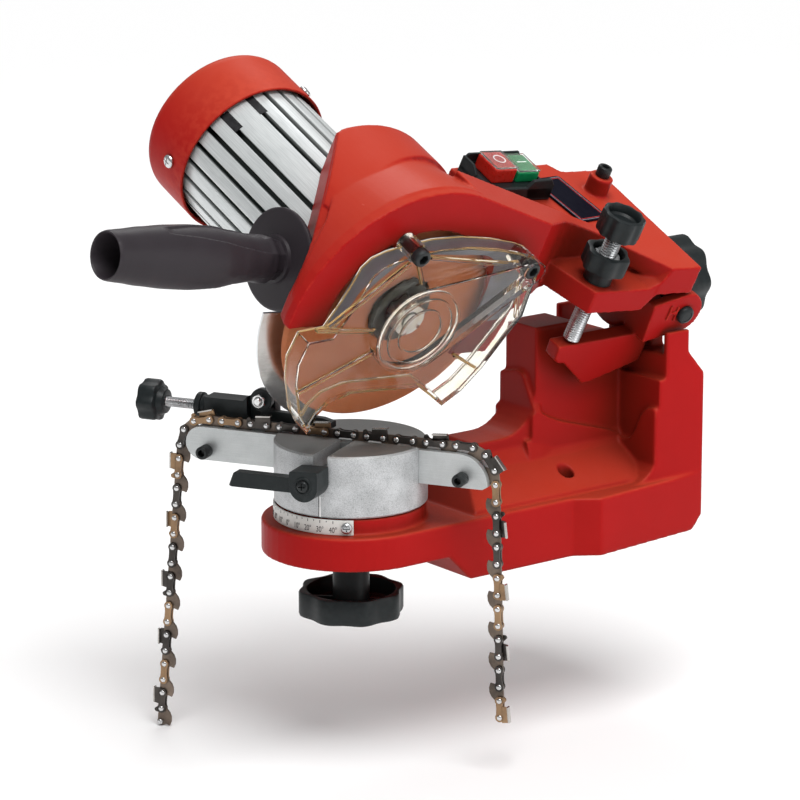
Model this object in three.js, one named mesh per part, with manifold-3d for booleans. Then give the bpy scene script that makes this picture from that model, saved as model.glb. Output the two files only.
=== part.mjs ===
// Electric sharpener for saw chains: a bench casting with a column, a swivelling vice in front
// and a grinding head that tilts on the column and swings down over the vice.
// Millimetres, +Z up, +Y to the rear. The frame's origin lies on the bench face of the foot,
// between the two bolt holes.
import * as THREE from 'three';
import { mergeVertices } from 'three/addons/utils/BufferGeometryUtils.js';
import Module from 'manifold-3d';

const wasm = await Module();
wasm.setup();

const QUARTER = Math.PI / 2;
const TURN = Math.PI * 2;
const rad = THREE.MathUtils.degToRad;

// Clearances and cuts
const SEAT_GAP = 0.3;
const RUN_GAP = 0.5;
const OVERRUN = 2;

// Small edges and rims
const EDGE = 1;
const KNOB_SCALLOP = 2.4;
const KNOB_FLOOR = 5;

// Bench casting: foot and lobe
const VICE_TO_FOOT = 130;
const LOBE_RADIUS = 50;
const LOBE_UNDERSIDE = 15;
const DECK_HEIGHT = 34;
const FOOT_FRONT = 46;
const FOOT_REAR = 217;
const FOOT_EDGE = 8;
const SIDE_JOG = 9;
const JOG_START = 119;
const JOG_END = 133;
const CASTING_WALL = 6;
const BOLT_SPACING = 60;
const BOLT_HOLE = 9;
const BOLT_RIB = 36;
const BOSS_HEIGHT = 9;
const BLOCK_FILLET = 20;
const SCALE_SCREW_DEG = 50;
const SCALE_SCREW = 1.6;

// Column
const WEB_THICK = 28;
const THROAT_FLOOR = 65;
const THROAT_START = 78;
const THROAT_FRONT = 121;
const THROAT_FILLET = 25;
const WEB_TOP = 126;
const WEB_STEP = 150;
const WEB_STEP_TOP = 112;
const BLOCK_FRONT = 183;
const BLOCK_TOP = 93;
const PLATE_FRONT = 188;
const PLATE_REAR = 205;
const WALL_TOP = 107;
const CHEEK_TOP = 120;
const CHEEK_THICK = 4;

// Tilt joint on top of the column
const TILT_X = 14;
const TILT_Z = 142;
const TILT_DEG = 24.7;
const TILT_DISC = 22;
const TILT_DISC_FRONT = 195;
const TILT_BOLT = 5;
const TILT_KNOB_RADIUS = 24.5;
const TILT_KNOB_DEPTH = 20;
const TILT_HUB_DEPTH = 7;
const TILT_HUB_RADIUS = 12;

// Carrier that tilts on the column and bears the arm
const CARRIER_BOSS = 23.5;
const CARRIER_FRONT = 176;
const CARRIER_CHAMFER = 2.5;
const EAR_INNER = 31;
const EAR_THICK = 6;
const EAR_RADIUS = 13.2;
const SHELF_INNER = 19.5;
const SHELF_OUTER = 29.5;
const SHELF_FRONT = 120;
const SHELF_TOP = -12;
const SHELF_THICK = 12;
const GUSSET_THICK = 4;
const GUSSET_TIP = 147;
const GUSSET_DROP = 18;

// Arm hinge, in the carrier's frame, and the arm's own length
const HINGE_Y = 201;
const HINGE_RISE = 3.2;
const HINGE_PIN = 4;
const HINGE_HEAD = 5.5;
const HINGE_HEAD_DEPTH = 3.5;
const ARM_RAISE_DEG = 6;
const ARM_LENGTH = 195.6;
const BARREL_RADIUS = 10;
const LEG_THICK = 6.5;
const AXIS_DROP = 1.4;

// Lifting spring under the saddle
const SPRING_TURNS = 5;
const SPRING_RADIUS = 3.8;
const SPRING_WIRE = 0.6;
const SPRING_A = -27;
const SPRING_Y = 181;

// Arm casting, in the arm's frame: the origin is the hinge, -Y runs to the front
const COVER_FACE = 18;
const COVER_BACK = -10;
const COVER_RADIUS = 78.5;
const COVER_WALL = 2.6;
const COVER_SKIN = 3;
const COVER_LIP = 5;
const COVER_WAIST = 68;
const COVER_WAIST_A = -14;
const COVER_RING = 24.5;
const COVER_MOUTH = -5;
const STRAP_HALF = 6.5;
const HOOD_SLOPE_DEG = 18.6;
const DRUM_RADIUS = 70;
const DRUM_BACK = -61;
const DRUM_CUT_DEG = 41.5;
const DRUM_SHOULDER = 20;
const DRUM_CHIN = 48;
const SADDLE_TOP = 32;
const SADDLE_LEFT = -72;
const SADDLE_FRONT = -110;
const SADDLE_UNDER = 21;
const SADDLE_DEPTH = 36;
const SADDLE_NOTCH_A = -64;
const SADDLE_NOTCH_Y = -31;
const SADDLE_CORNER = 48;
const SADDLE_REAR = -2;
const SADDLE_WAIST = 2.5;
const SADDLE_WAIST_Y = -51;
const HOOD_BOTTOM = 4;
const HOOD_SHOULDER = -112;
const HOOD_END = -79;
const FLANK_BOTTOM = 14.5;
const FLANK_RIGHT = 37;
const LUG_LEFT = 4.5;
const LUG_RIGHT = 36.5;
const LUG_FRONT = -88;
const LUG_SLANT = 11;
const LUG_REAR = -24;
const LUG_END = -28;
const LUG_BOTTOM = 4;
const LUG_TOP = 18.5;

// Depth stop
const STOP_A = 25;
const STOP_Y = -68;
const STOP_SCREW = 5;
const STOP_TIP = -21.3;
const STOP_KNOB_RADIUS = 12.8;
const STOP_KNOB_LOW = 49.5;
const STOP_KNOB_HEIGHT = 14;
const LOCK_KNOB_RADIUS = 13.5;
const LOCK_KNOB_HEIGHT = 12;
const LOCK_NECK = 8;

// Motor, on the wheel's axis
const MOTOR_RADIUS = 44;
const MOTOR_FRONT = -33;
const MOTOR_BACK = -150;
const MOTOR_BORE = 36;
const FIN_COUNT = 25;
const FIN_DEPTH = 4;
const FIN_GROOVE_SHARE = 0.28;
const FIN_WIDE_DEG = 24;
const FIN_WIDE_AT_DEG = 114;
const CAP_RADIUS = 47.6;
const CAP_RIM = -135.6;
const CAP_DEPTH = 42;
const CAP_WALL = 2;
const CAP_CROWN = 9;
const CAP_SCREW_A = -149;
const CAP_SCREW_DEGS = [100, -42, 207];
const SHAFT_RADIUS = 6;
const BEARING_RADIUS = 14;
const BEARING_WIDTH = 9;
const FRONT_BEARING_A = -20;
const REAR_BEARING_A = -168;

// Grinding wheel and its flanges
const WHEEL_RADIUS = 72.5;
const WHEEL_THICK = 4;
const WHEEL_A = 8.75;
const WHEEL_BORE = 11;
const FLANGE_RADIUS = 20;
const FLANGE_THICK = 4;
const NUT_FLATS = 19;
const NUT_THICK = 8;

// Guards
const REAR_GUARD_RADIUS = 83;
const REAR_GUARD_THICK = 1.4;
const REAR_GUARD_BACK = 0;
const TAB_SCREW = 2;
const TAB_Y = -54;
const TAB_C = 3;
const TAB_HALF = 8;
const TAB_TOP = 10;
const UPPER_SCREW_Y = -20;
const UPPER_SCREW_C = 48.3;
const REAR_SCREW_Y = 64.4;
const REAR_SCREW_C = 36;
const GUARD_REACH = 78;
const GUARD_BACK = 18.4;
const GUARD_FACE = 30;
const GUARD_WALL = 2.2;
const GUARD_BOSS = 28;
const GUARD_BOSS_Y = -3;
const GUARD_BOSS_C = 2;
const GUARD_BOSS_HEIGHT = 7;
const GUARD_SCREW = 3;

// Side handle
const HANDLE_A = -23.5;
const HANDLE_FORWARD = 61;
const HANDLE_UP = 11;
const HANDLE_RISE_DEG = 4;
const HANDLE_LENGTH = 120;
const HANDLE_FLANGE = 28;
const HANDLE_END = 13;
const HANDLE_STUD = 5;
const HANDLE_BOSS = 13;

// Vice
const TABLE_RADIUS = 42.8;
const BOSS_SHY = 0.8;
const BOSS_RADIUS = TABLE_RADIUS - BOSS_SHY;
const TABLE_HEIGHT = 35;
const VICE_DEG = 30;
const RAIL_GAP = 1.7;
const RAIL_THICK = 3.6;
const RAIL_LEFT = -99;
const RAIL_RIGHT = 83;
const RAIL_HEIGHT = 19;
const RAIL_PROUD = 1.6;
const RAIL_SCREW_LEFT = -85.8;
const RAIL_SCREW_RIGHT = 68.5;
const RAIL_SCREW = 2.2;
const VICE_BOLT = 5;
const VICE_KNOB_RADIUS = 30;
const VICE_KNOB_HEIGHT = 15;
const VICE_KNOB_DROP = 8;
const LEVER_REACH = 45;
const LEVER_HUB = 8.6;
const LEVER_X = -3;
const LEVER_SCREW = 4;

// Work stop behind the rails
const WORKSTOP_Y = 14;
const WORKSTOP_RISE = 6;
const WORKSTOP_BLOCK = 13;
const WORKSTOP_LEFT = -93;
const WORKSTOP_STEP = -69;
const WORKSTOP_RIGHT = -34;
const PAWL_PIVOT = -58;
const PAWL_RIGHT = -14;
const PAWL_THICK = 5;
const PAWL_EYE = 6.5;
const PAWL_RISE = 8;
const PAWL_BOLT = 2.2;
const WORKSTOP_ROD = 3;
const WORKSTOP_KNOB_RADIUS = 11.5;
const WORKSTOP_KNOB_X = -134;

// Switch
const SWITCH_LEFT = -67;
const SWITCH_WIDE = 31;
const SWITCH_FORWARD = 86.1;
const SWITCH_FRONT = SWITCH_FORWARD - ARM_LENGTH;
const SWITCH_LONG = 46.5;
const SWITCH_HIGH = 8;
const SWITCH_RIM = 2.2;
const BUTTON_FRONT = -101.5;
const BUTTON_WIDE = 18.8;
const BUTTON_LONG = 17;
const BUTTON_RISE = 6;
const BUTTON_TRAVEL = 2.5;
const LENS_THICK = 1.4;

// Small fittings on the saddle
const LABEL_LONG = 44;
const LABEL_WIDE = 24;
const LABEL_THICK = 0.8;
const LABEL_A = -35;
const LABEL_Y = -48;
const LABEL_DEG = 7;
const CAP_BOSS = 7;
const CAP_BOSS_HEIGHT = 11;
const CAP_BOSS_A = -42;
const CAP_BOSS_Y = -22;
const CAP_SCREW = 2.5;
const GLAND_RADIUS = 6;
const GLAND_DEPTH = 12;
const GLAND_Y = -52;
const GLAND_C = 18;

// Chain on the rails
const CHAIN_WIDE = 5;
const CHAIN_HIGH = 6;
const CHAIN_LEFT_END = -102;
const CHAIN_RIGHT_END = -80;
const CHAIN_DRIFT = 15;

const RED = { color: 0xb81f26, roughness: 0.35, metalness: 0.1 };
const BLACK = { color: 0x24262a, roughness: 0.55, metalness: 0 };
const STEEL = { color: 0xb9bcc0, roughness: 0.3, metalness: 0.9 };
const ALUMINIUM = { color: 0xc6c9cc, roughness: 0.35, metalness: 0.85 };
const WHITE = { color: 0xe9e8e2, roughness: 0.45, metalness: 0 };
const SIGNAL_RED = { color: 0xd8402e, roughness: 0.4, metalness: 0 };
const SIGNAL_GREEN = { color: 0x2f9a5c, roughness: 0.4, metalness: 0 };
const RUBY = { color: 0xb4623a, roughness: 0.9, metalness: 0 };
const CHAIN = { color: 0x6b5d50, roughness: 0.45, metalness: 0.8 };
const CLEAR = { color: 0xe8e2d6, roughness: 0.08, metalness: 0 };

// Geometry helpers: each takes and gives closed BufferGeometry

function toSolid(geometry) {
  const bare = geometry.clone();
  bare.deleteAttribute('normal');
  bare.deleteAttribute('uv');
  const merged = mergeVertices(bare, 1e-4);
  const vertProperties = new Float32Array(merged.attributes.position.array);
  const triVerts = new Uint32Array(merged.index.array);
  return new wasm.Manifold(new wasm.Mesh({ numProp: 3, vertProperties, triVerts }));
}

function toGeometry(solid) {
  const mesh = solid.getMesh();
  const geometry = new THREE.BufferGeometry();
  geometry.setAttribute('position', new THREE.BufferAttribute(mesh.vertProperties, 3));
  geometry.setIndex(new THREE.BufferAttribute(mesh.triVerts, 1));
  geometry.computeVertexNormals();
  return geometry;
}

function join(first, ...others) {
  return toGeometry(others.reduce((solid, other) => solid.add(toSolid(other)), toSolid(first)));
}

function cut(first, ...others) {
  return toGeometry(others.reduce((solid, other) => solid.subtract(toSolid(other)), toSolid(first)));
}

function common(first, second) {
  return toGeometry(toSolid(first).intersect(toSolid(second)));
}

function block(x0, x1, y0, y1, z0, z1) {
  const box = new THREE.BoxGeometry(x1 - x0, y1 - y0, z1 - z0);
  return box.translate((x0 + x1) / 2, (y0 + y1) / 2, (z0 + z1) / 2);
}

function shapeOf(points) {
  return new THREE.Shape(points.map(([u, v]) => new THREE.Vector2(u, v)));
}

// A plate whose outline lies in XY, from z0 to z1
function plateZ(points, z0, z1) {
  const options = { depth: z1 - z0, bevelEnabled: false };
  return new THREE.ExtrudeGeometry(shapeOf(points), options).translate(0, 0, z0);
}

// A plate whose outline lies in YZ, from x0 to x1
function plateX(points, x0, x1) {
  const solid = plateZ(points, x0, x1);
  return solid.applyMatrix4(new THREE.Matrix4().makeBasis(
    new THREE.Vector3(0, 1, 0), new THREE.Vector3(0, 0, 1), new THREE.Vector3(1, 0, 0)));
}

// A plate whose outline lies in XZ, from y0 to y1
function plateY(points, y0, y1) {
  const solid = plateZ(points, -y1, -y0);
  return solid.applyMatrix4(new THREE.Matrix4().makeBasis(
    new THREE.Vector3(1, 0, 0), new THREE.Vector3(0, 0, 1), new THREE.Vector3(0, -1, 0)));
}

// A round solid along Z, turned from pairs of radius and height that start and end on the axis
function turned(profile, sides = 24) {
  return new THREE.LatheGeometry(profile.map(([r, z]) => new THREE.Vector2(r, z)), sides)
    .rotateX(QUARTER);
}

function rodZ(radius, z0, z1, sides = 20) {
  return turned([[0, z0], [radius, z0], [radius, z1], [0, z1]], sides);
}

const lieAlongX = (geometry) => geometry.rotateY(QUARTER);
const lieAlongY = (geometry) => geometry.rotateX(-QUARTER);

function rodX(radius, x0, x1, sides = 20) {
  return lieAlongX(rodZ(radius, x0, x1, sides));
}

function rodY(radius, y0, y1, sides = 20) {
  return lieAlongY(rodZ(radius, y0, y1, sides));
}

// Points on an arc about (u, v), in degrees
function arc(u, v, radius, from, to, steps) {
  return Array.from({ length: steps + 1 }, (_, i) => {
    const angle = rad(from + (to - from) * i / steps);
    return [u + radius * Math.cos(angle), v + radius * Math.sin(angle)];
  });
}

// The outline of a knob with finger scallops
function lobed(radius, lobes, scallop, steps = 4) {
  const points = [];
  for (let i = 0; i < lobes * steps; i += 1) {
    const angle = TURN * i / (lobes * steps);
    const wave = Math.max(0, Math.cos(angle * lobes)) ** 2;
    points.push([(radius - scallop * wave) * Math.cos(angle), (radius - scallop * wave) * Math.sin(angle)]);
  }
  return points;
}

function polygon(radius, sides, turn = 0) {
  return arc(0, 0, radius, turn, turn + 360 * (sides - 1) / sides, sides - 1);
}

// Socket head screw along Z: its head sits on z, its shank goes down
function socketScrew(radius, headHeight, shank, sides = 14) {
  const head = radius * 1.7;
  const edge = radius / 5;
  const body = turned([
    [0, -shank], [radius, -shank], [radius, 0], [head, 0], [head, headHeight - edge],
    [head - edge, headHeight], [0, headHeight],
  ], sides);
  const socket = plateZ(polygon(radius * 0.95, 6), headHeight * 0.45, headHeight + OVERRUN);
  return cut(body, socket);
}

// Pan head screw with a cross recess, along Z
function panScrew(radius, shank, sides = 12) {
  const head = radius * 2;
  const high = radius * 1.1;
  const body = turned([
    [0, -shank], [radius, -shank], [radius, 0], [head, 0], [head * 0.93, high * 0.6],
    [head * 0.6, high * 0.95], [0, high],
  ], sides);
  const slot = radius * 0.18;
  const reach = radius * 0.95;
  const deep = high * 0.5;
  return cut(body, block(-reach, reach, -slot, slot, deep, high + OVERRUN),
    block(-slot, slot, -reach, reach, deep, high + OVERRUN));
}

function place(name, geometry, finish, parent) {
  const mesh = new THREE.Mesh(geometry, new THREE.MeshStandardMaterial(finish));
  mesh.name = name;
  parent.add(mesh);
  return mesh;
}

// Bench casting

function footOutline() {
  return [
    ...arc(0, 0, LOBE_RADIUS, 180, 360, 26),
    [LOBE_RADIUS, JOG_START], [LOBE_RADIUS + SIDE_JOG, JOG_END], [LOBE_RADIUS, FOOT_REAR],
    [-LOBE_RADIUS, FOOT_REAR], [-LOBE_RADIUS - SIDE_JOG, JOG_END], [-LOBE_RADIUS, JOG_START],
  ];
}

function footSide() {
  const rise = FOOT_FRONT - LOBE_UNDERSIDE;
  return [
    [-LOBE_RADIUS - OVERRUN, LOBE_UNDERSIDE], [rise, LOBE_UNDERSIDE], [FOOT_FRONT, 0],
    [FOOT_REAR - FOOT_EDGE, 0], [FOOT_REAR, FOOT_EDGE], [FOOT_REAR, DECK_HEIGHT],
    [-LOBE_RADIUS - OVERRUN, DECK_HEIGHT],
  ];
}

// The column's outline from the side, with the rounded throat over the vice
function webSide() {
  return [
    [LOBE_RADIUS, DECK_HEIGHT - OVERRUN], [THROAT_START, THROAT_FLOOR],
    ...arc(THROAT_FRONT - THROAT_FILLET, THROAT_FLOOR + THROAT_FILLET, THROAT_FILLET, -90, 0, 8),
    [THROAT_FRONT, WEB_TOP], [WEB_STEP, WEB_TOP], [WEB_STEP + OVERRUN, WEB_STEP_TOP],
    [PLATE_FRONT + OVERRUN, WEB_STEP_TOP], [PLATE_FRONT + OVERRUN, DECK_HEIGHT - OVERRUN],
  ];
}

function columnBlock() {
  return plateX([
    [BLOCK_FRONT, DECK_HEIGHT - OVERRUN], [FOOT_REAR, DECK_HEIGHT - OVERRUN], [FOOT_REAR, BLOCK_TOP],
    [PLATE_REAR, WALL_TOP], [PLATE_FRONT, WALL_TOP], [PLATE_FRONT, BLOCK_TOP], [BLOCK_FRONT, BLOCK_TOP],
  ], -LOBE_RADIUS, LOBE_RADIUS);
}

// The plate that the carrier tilts on, with its neck down to the column
function tiltPlate() {
  const neckTop = TILT_Z - TILT_DISC / 3;
  const waist = TILT_Z - TILT_DISC * 0.86;
  const neck = plateY([
    [TILT_X - TILT_DISC * 1.25, BLOCK_TOP], [TILT_X + TILT_DISC * 0.6, BLOCK_TOP],
    [TILT_X + TILT_DISC * 0.6, waist], [TILT_X + TILT_DISC * 0.94, neckTop],
    [TILT_X - TILT_DISC * 0.94, neckTop], [TILT_X - TILT_DISC * 1.05, waist],
  ], TILT_DISC_FRONT, PLATE_REAR);
  const disc = rodY(TILT_DISC, TILT_DISC_FRONT, PLATE_REAR, 32).translate(TILT_X, 0, TILT_Z);
  return join(neck, disc);
}

function baseCasting() {
  const half = LOBE_RADIUS;
  const web = WEB_THICK / 2;
  const foot = common(plateZ(footOutline(), -OVERRUN, DECK_HEIGHT), plateX(footSide(), -half * 2, half * 2));
  const shoulder = plateY([
    [-half + CASTING_WALL, DECK_HEIGHT - OVERRUN], [half - CASTING_WALL, DECK_HEIGHT - OVERRUN],
    [half - CASTING_WALL, DECK_HEIGHT + OVERRUN], [web + CASTING_WALL, THROAT_FLOOR - web],
    [web, THROAT_FLOOR - CASTING_WALL], [-web, THROAT_FLOOR - CASTING_WALL],
    [-web - CASTING_WALL, THROAT_FLOOR - web], [-half + CASTING_WALL, DECK_HEIGHT + OVERRUN],
  ], LOBE_RADIUS, BLOCK_FRONT + OVERRUN);
  const boss = rodZ(BOSS_RADIUS, LOBE_UNDERSIDE + OVERRUN, DECK_HEIGHT + BOSS_HEIGHT, 40);
  const fillet = plateX([
    [BLOCK_FRONT + OVERRUN, DECK_HEIGHT - OVERRUN], [BLOCK_FRONT + OVERRUN, DECK_HEIGHT + BLOCK_FILLET],
    ...arc(BLOCK_FRONT - BLOCK_FILLET, DECK_HEIGHT + BLOCK_FILLET, BLOCK_FILLET, 0, -90, 6),
    [BLOCK_FRONT - BLOCK_FILLET, DECK_HEIGHT - OVERRUN],
  ], -half, half);
  const cheek = block(half - CHEEK_THICK, half, PLATE_FRONT, PLATE_REAR, BLOCK_TOP, CHEEK_TOP);
  const whole = join(
    foot, plateX(webSide(), -web, web), common(shoulder, plateX(webSide(), -half, half)), boss,
    columnBlock(), fillet, tiltPlate(), cheek, cheek.clone().translate(CHEEK_THICK - 2 * half, 0, 0));
  const inner = half - CASTING_WALL;
  const ceiling = DECK_HEIGHT - CASTING_WALL;
  const ribFront = VICE_TO_FOOT - BOLT_RIB / 2;
  const ribRear = VICE_TO_FOOT + BOLT_RIB / 2;
  const rearInner = FOOT_REAR - CASTING_WALL;
  const bolt = rodZ(BOLT_HOLE / 2, -OVERRUN, DECK_HEIGHT * 2).translate(0, VICE_TO_FOOT, 0);
  return cut(
    whole,
    block(-inner, inner, FOOT_FRONT + CASTING_WALL, ribFront, -OVERRUN, ceiling),
    block(-inner, inner, ribRear, rearInner, -OVERRUN, ceiling),
    block(-inner, inner, BLOCK_FRONT + CASTING_WALL, rearInner, 0, BLOCK_TOP - CASTING_WALL),
    bolt.clone().translate(BOLT_SPACING / 2, 0, 0),
    bolt.clone().translate(-BOLT_SPACING / 2, 0, 0),
    rodZ(VICE_BOLT + RUN_GAP, 0, DECK_HEIGHT + BOSS_HEIGHT + OVERRUN), scaleBore(),
    rodY(TILT_BOLT + RUN_GAP, TILT_DISC_FRONT - OVERRUN, PLATE_REAR + OVERRUN).translate(TILT_X, 0, TILT_Z));
}

// The curved plate of the angle scale on the boss under the vice
function scalePlate() {
  const inner = BOSS_RADIUS + SEAT_GAP;
  const outer = inner + EDGE;
  const spread = 55;
  const plate = plateZ([...arc(0, 0, outer, -90 - spread, -90 + spread, 24),
    ...arc(0, 0, inner, -90 + spread, -90 - spread, 24)],
  DECK_HEIGHT + SEAT_GAP, DECK_HEIGHT + BOSS_HEIGHT - SEAT_GAP);
  return cut(plate, scaleBore());
}

// Vice: everything here turns with the table, with the rails along X

const TABLE_BOTTOM = DECK_HEIGHT + BOSS_HEIGHT + SEAT_GAP;
const TABLE_TOP = TABLE_BOTTOM + TABLE_HEIGHT;
const RAIL_TOP = TABLE_TOP - RAIL_PROUD;
const RAIL_BOTTOM = RAIL_TOP - RAIL_HEIGHT;
const RAIL_OUT = RAIL_GAP / 2 + RAIL_THICK;
const RAIL_MIDDLE = (RAIL_TOP + RAIL_BOTTOM) / 2;
const RAIL_SCREW_Z = RAIL_BOTTOM + RAIL_HEIGHT * 0.3;
const LEVER_Z = RAIL_BOTTOM + RAIL_HEIGHT * 0.38;

function turntable() {
  const drum = turned([
    [0, TABLE_BOTTOM], [TABLE_RADIUS - EDGE, TABLE_BOTTOM], [TABLE_RADIUS, TABLE_BOTTOM + EDGE],
    [TABLE_RADIUS, TABLE_TOP - EDGE], [TABLE_RADIUS - EDGE, TABLE_TOP], [0, TABLE_TOP],
  ], 44);
  const reach = TABLE_RADIUS + OVERRUN;
  const channel = RAIL_OUT + SEAT_GAP;
  const slot = TABLE_RADIUS * 0.1;
  return cut(
    drum,
    block(-reach, reach, -channel, channel, RAIL_BOTTOM - SEAT_GAP, TABLE_TOP + OVERRUN),
    block(-slot, slot, -reach, 0, TABLE_TOP - slot * 2.4, TABLE_TOP + OVERRUN),
    rodY(LEVER_SCREW + SEAT_GAP, -reach, 0).translate(LEVER_X, 0, LEVER_Z),
    rodZ(VICE_BOLT + SEAT_GAP, TABLE_BOTTOM - OVERRUN, RAIL_BOTTOM - CASTING_WALL / 2));
}

// One jaw plate: a round left end, and a right end that falls away in a wide curve
function railOutline() {
  const end = RAIL_HEIGHT / 2;
  const curve = RAIL_HEIGHT * 0.9;
  return [
    ...arc(RAIL_LEFT + end, RAIL_MIDDLE, end, 90, 270, 10),
    [RAIL_RIGHT - end / 3, RAIL_BOTTOM], [RAIL_RIGHT, RAIL_TOP - curve],
    ...arc(RAIL_RIGHT - curve, RAIL_TOP - curve, curve, 10, 90, 8),
  ];
}

function rail(y0) {
  const holes = [RAIL_SCREW_LEFT, RAIL_SCREW_RIGHT].map(
    (x) => rodY(RAIL_SCREW + SEAT_GAP, y0 - OVERRUN, y0 + RAIL_THICK + OVERRUN, 16)
      .translate(x, 0, RAIL_SCREW_Z));
  return cut(plateY(railOutline(), y0, y0 + RAIL_THICK), ...holes);
}

function railScrew(x) {
  const screw = socketScrew(RAIL_SCREW, RAIL_SCREW * 3.6, 2 * RAIL_OUT + OVERRUN);
  return screw.rotateX(QUARTER).translate(x, -RAIL_OUT - SEAT_GAP, RAIL_SCREW_Z);
}

function leverScrew() {
  const seat = -TABLE_RADIUS - SEAT_GAP;
  const front = seat - LEVER_HUB * 1.7;
  const shank = rodY(LEVER_SCREW, seat, -RAIL_OUT - SEAT_GAP);
  const neck = rodY(LEVER_SCREW * 0.6, front, seat + OVERRUN, 16);
  return join(shank, neck).translate(LEVER_X, 0, LEVER_Z);
}

// The clamp lever: a round hub with a flat arm that widens to its end
function clampLever() {
  const hubFront = -TABLE_RADIUS - LEVER_HUB * 1.9;
  const hubBack = -TABLE_RADIUS - SEAT_GAP - EDGE;
  const armFront = hubFront + LEVER_HUB * 0.35;
  const armBack = armFront + LEVER_HUB * 0.8;
  const waist = LEVER_HUB * 0.48;
  const tip = LEVER_HUB * 0.56;
  const hub = lieAlongY(turned([
    [0, hubFront], [LEVER_HUB - EDGE, hubFront], [LEVER_HUB, hubFront + EDGE], [LEVER_HUB, armBack],
    [LEVER_HUB * 0.8, hubBack], [0, hubBack],
  ], 24));
  const arm = plateY([
    [0, -LEVER_HUB * 0.7], [0, LEVER_HUB * 0.7], [-LEVER_HUB * 1.2, waist],
    [EDGE - LEVER_REACH, tip], [-LEVER_REACH, 0], [EDGE - LEVER_REACH, -tip],
    [-LEVER_HUB * 1.2, -waist],
  ], armFront, armBack);
  const neck = rodY(LEVER_SCREW * 0.6 + SEAT_GAP, hubFront - OVERRUN, hubBack + OVERRUN, 16);
  return cut(join(hub, arm), neck).translate(LEVER_X, 0, LEVER_Z);
}

function viceBolt() {
  return rodZ(VICE_BOLT, -VICE_KNOB_DROP - VICE_KNOB_HEIGHT / 2, RAIL_BOTTOM - CASTING_WALL);
}

// The dished knob under the lobe, with its tall hub
function viceKnob() {
  const top = -VICE_KNOB_DROP;
  const bottom = top - VICE_KNOB_HEIGHT;
  const hub = VICE_KNOB_RADIUS * 0.34;
  const rim = plateZ(lobed(VICE_KNOB_RADIUS, 8, KNOB_SCALLOP), bottom, top);
  const dish = turned([
    [0, bottom + KNOB_FLOOR], [VICE_KNOB_RADIUS * 0.55, bottom + KNOB_FLOOR * 0.8],
    [VICE_KNOB_RADIUS * 0.8, top + OVERRUN],
    [0, top + OVERRUN],
  ], 32);
  const stem = turned([
    [0, bottom + EDGE], [hub * 1.1, bottom + EDGE], [hub, top],
    [hub, LOBE_UNDERSIDE - SEAT_GAP - EDGE], [hub - EDGE, LOBE_UNDERSIDE - SEAT_GAP],
    [0, LOBE_UNDERSIDE - SEAT_GAP],
  ], 24);
  const bore = rodZ(VICE_BOLT + SEAT_GAP, bottom + KNOB_FLOOR * 0.8, LOBE_UNDERSIDE + OVERRUN);
  return cut(join(cut(rim, dish), stem), bore);
}

// Work stop: a block on the table with a screw, and a pawl that reaches over the rails

const WORKSTOP_Z = TABLE_TOP + WORKSTOP_RISE;
const PAWL_Z = WORKSTOP_Z + PAWL_RISE;
const PAWL_FRONT = WORKSTOP_Y - WORKSTOP_BLOCK / 2;
const PAWL_BACK = PAWL_FRONT + PAWL_THICK;

function stopBlock() {
  const half = WORKSTOP_BLOCK / 2;
  const low = TABLE_TOP + SEAT_GAP;
  const body = plateY([
    [WORKSTOP_LEFT, low], [WORKSTOP_RIGHT, low], [WORKSTOP_RIGHT, low + half / 2],
    [PAWL_PIVOT + PAWL_EYE, low + half / 2], [PAWL_PIVOT + PAWL_EYE, PAWL_Z + PAWL_EYE / 2],
    [PAWL_PIVOT - PAWL_EYE, PAWL_Z + PAWL_EYE / 2], [WORKSTOP_STEP, WORKSTOP_Z + half],
    [WORKSTOP_LEFT, WORKSTOP_Z + half],
  ], WORKSTOP_Y - half, WORKSTOP_Y + half);
  const bore = rodX(WORKSTOP_ROD + SEAT_GAP, WORKSTOP_LEFT - OVERRUN, WORKSTOP_STEP - OVERRUN);
  const room = block(PAWL_PIVOT - PAWL_EYE - 2 * EDGE, WORKSTOP_RIGHT + OVERRUN,
    WORKSTOP_Y - half - OVERRUN, PAWL_BACK + RUN_GAP, low - EDGE, WORKSTOP_Z * 2);
  const pivot = rodY(PAWL_BOLT + SEAT_GAP, WORKSTOP_Y - half, WORKSTOP_Y + half + OVERRUN, 16);
  return cut(body, bore.translate(0, WORKSTOP_Y, WORKSTOP_Z), room,
    pivot.translate(PAWL_PIVOT, 0, PAWL_Z));
}

function stopRod() {
  return rodX(WORKSTOP_ROD, WORKSTOP_KNOB_X + WORKSTOP_KNOB_RADIUS / 2,
    WORKSTOP_STEP - WORKSTOP_KNOB_RADIUS).translate(0, WORKSTOP_Y, WORKSTOP_Z);
}

function stopCollar() {
  const x1 = WORKSTOP_LEFT - SEAT_GAP;
  const x0 = x1 - WORKSTOP_BLOCK / 2;
  const disc = rodX(WORKSTOP_BLOCK * 0.57, x0, x1);
  const bore = rodX(WORKSTOP_ROD + SEAT_GAP, x0 - OVERRUN, x1 + OVERRUN);
  return cut(disc, bore).translate(0, WORKSTOP_Y, WORKSTOP_Z);
}

function stopKnob() {
  const depth = WORKSTOP_KNOB_RADIUS * 1.3;
  const grip = plateZ(lobed(WORKSTOP_KNOB_RADIUS, 7, KNOB_SCALLOP * 0.8), 0, depth * 0.75);
  const hub = turned([[0, 0], [WORKSTOP_KNOB_RADIUS * 0.6, 0], [WORKSTOP_KNOB_RADIUS * 0.5, depth],
    [0, depth]], 20);
  const bore = rodZ(WORKSTOP_ROD + SEAT_GAP, depth * 0.38, depth + OVERRUN);
  return lieAlongX(cut(join(grip, hub), bore)).translate(WORKSTOP_KNOB_X, WORKSTOP_Y, WORKSTOP_Z);
}

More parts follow.
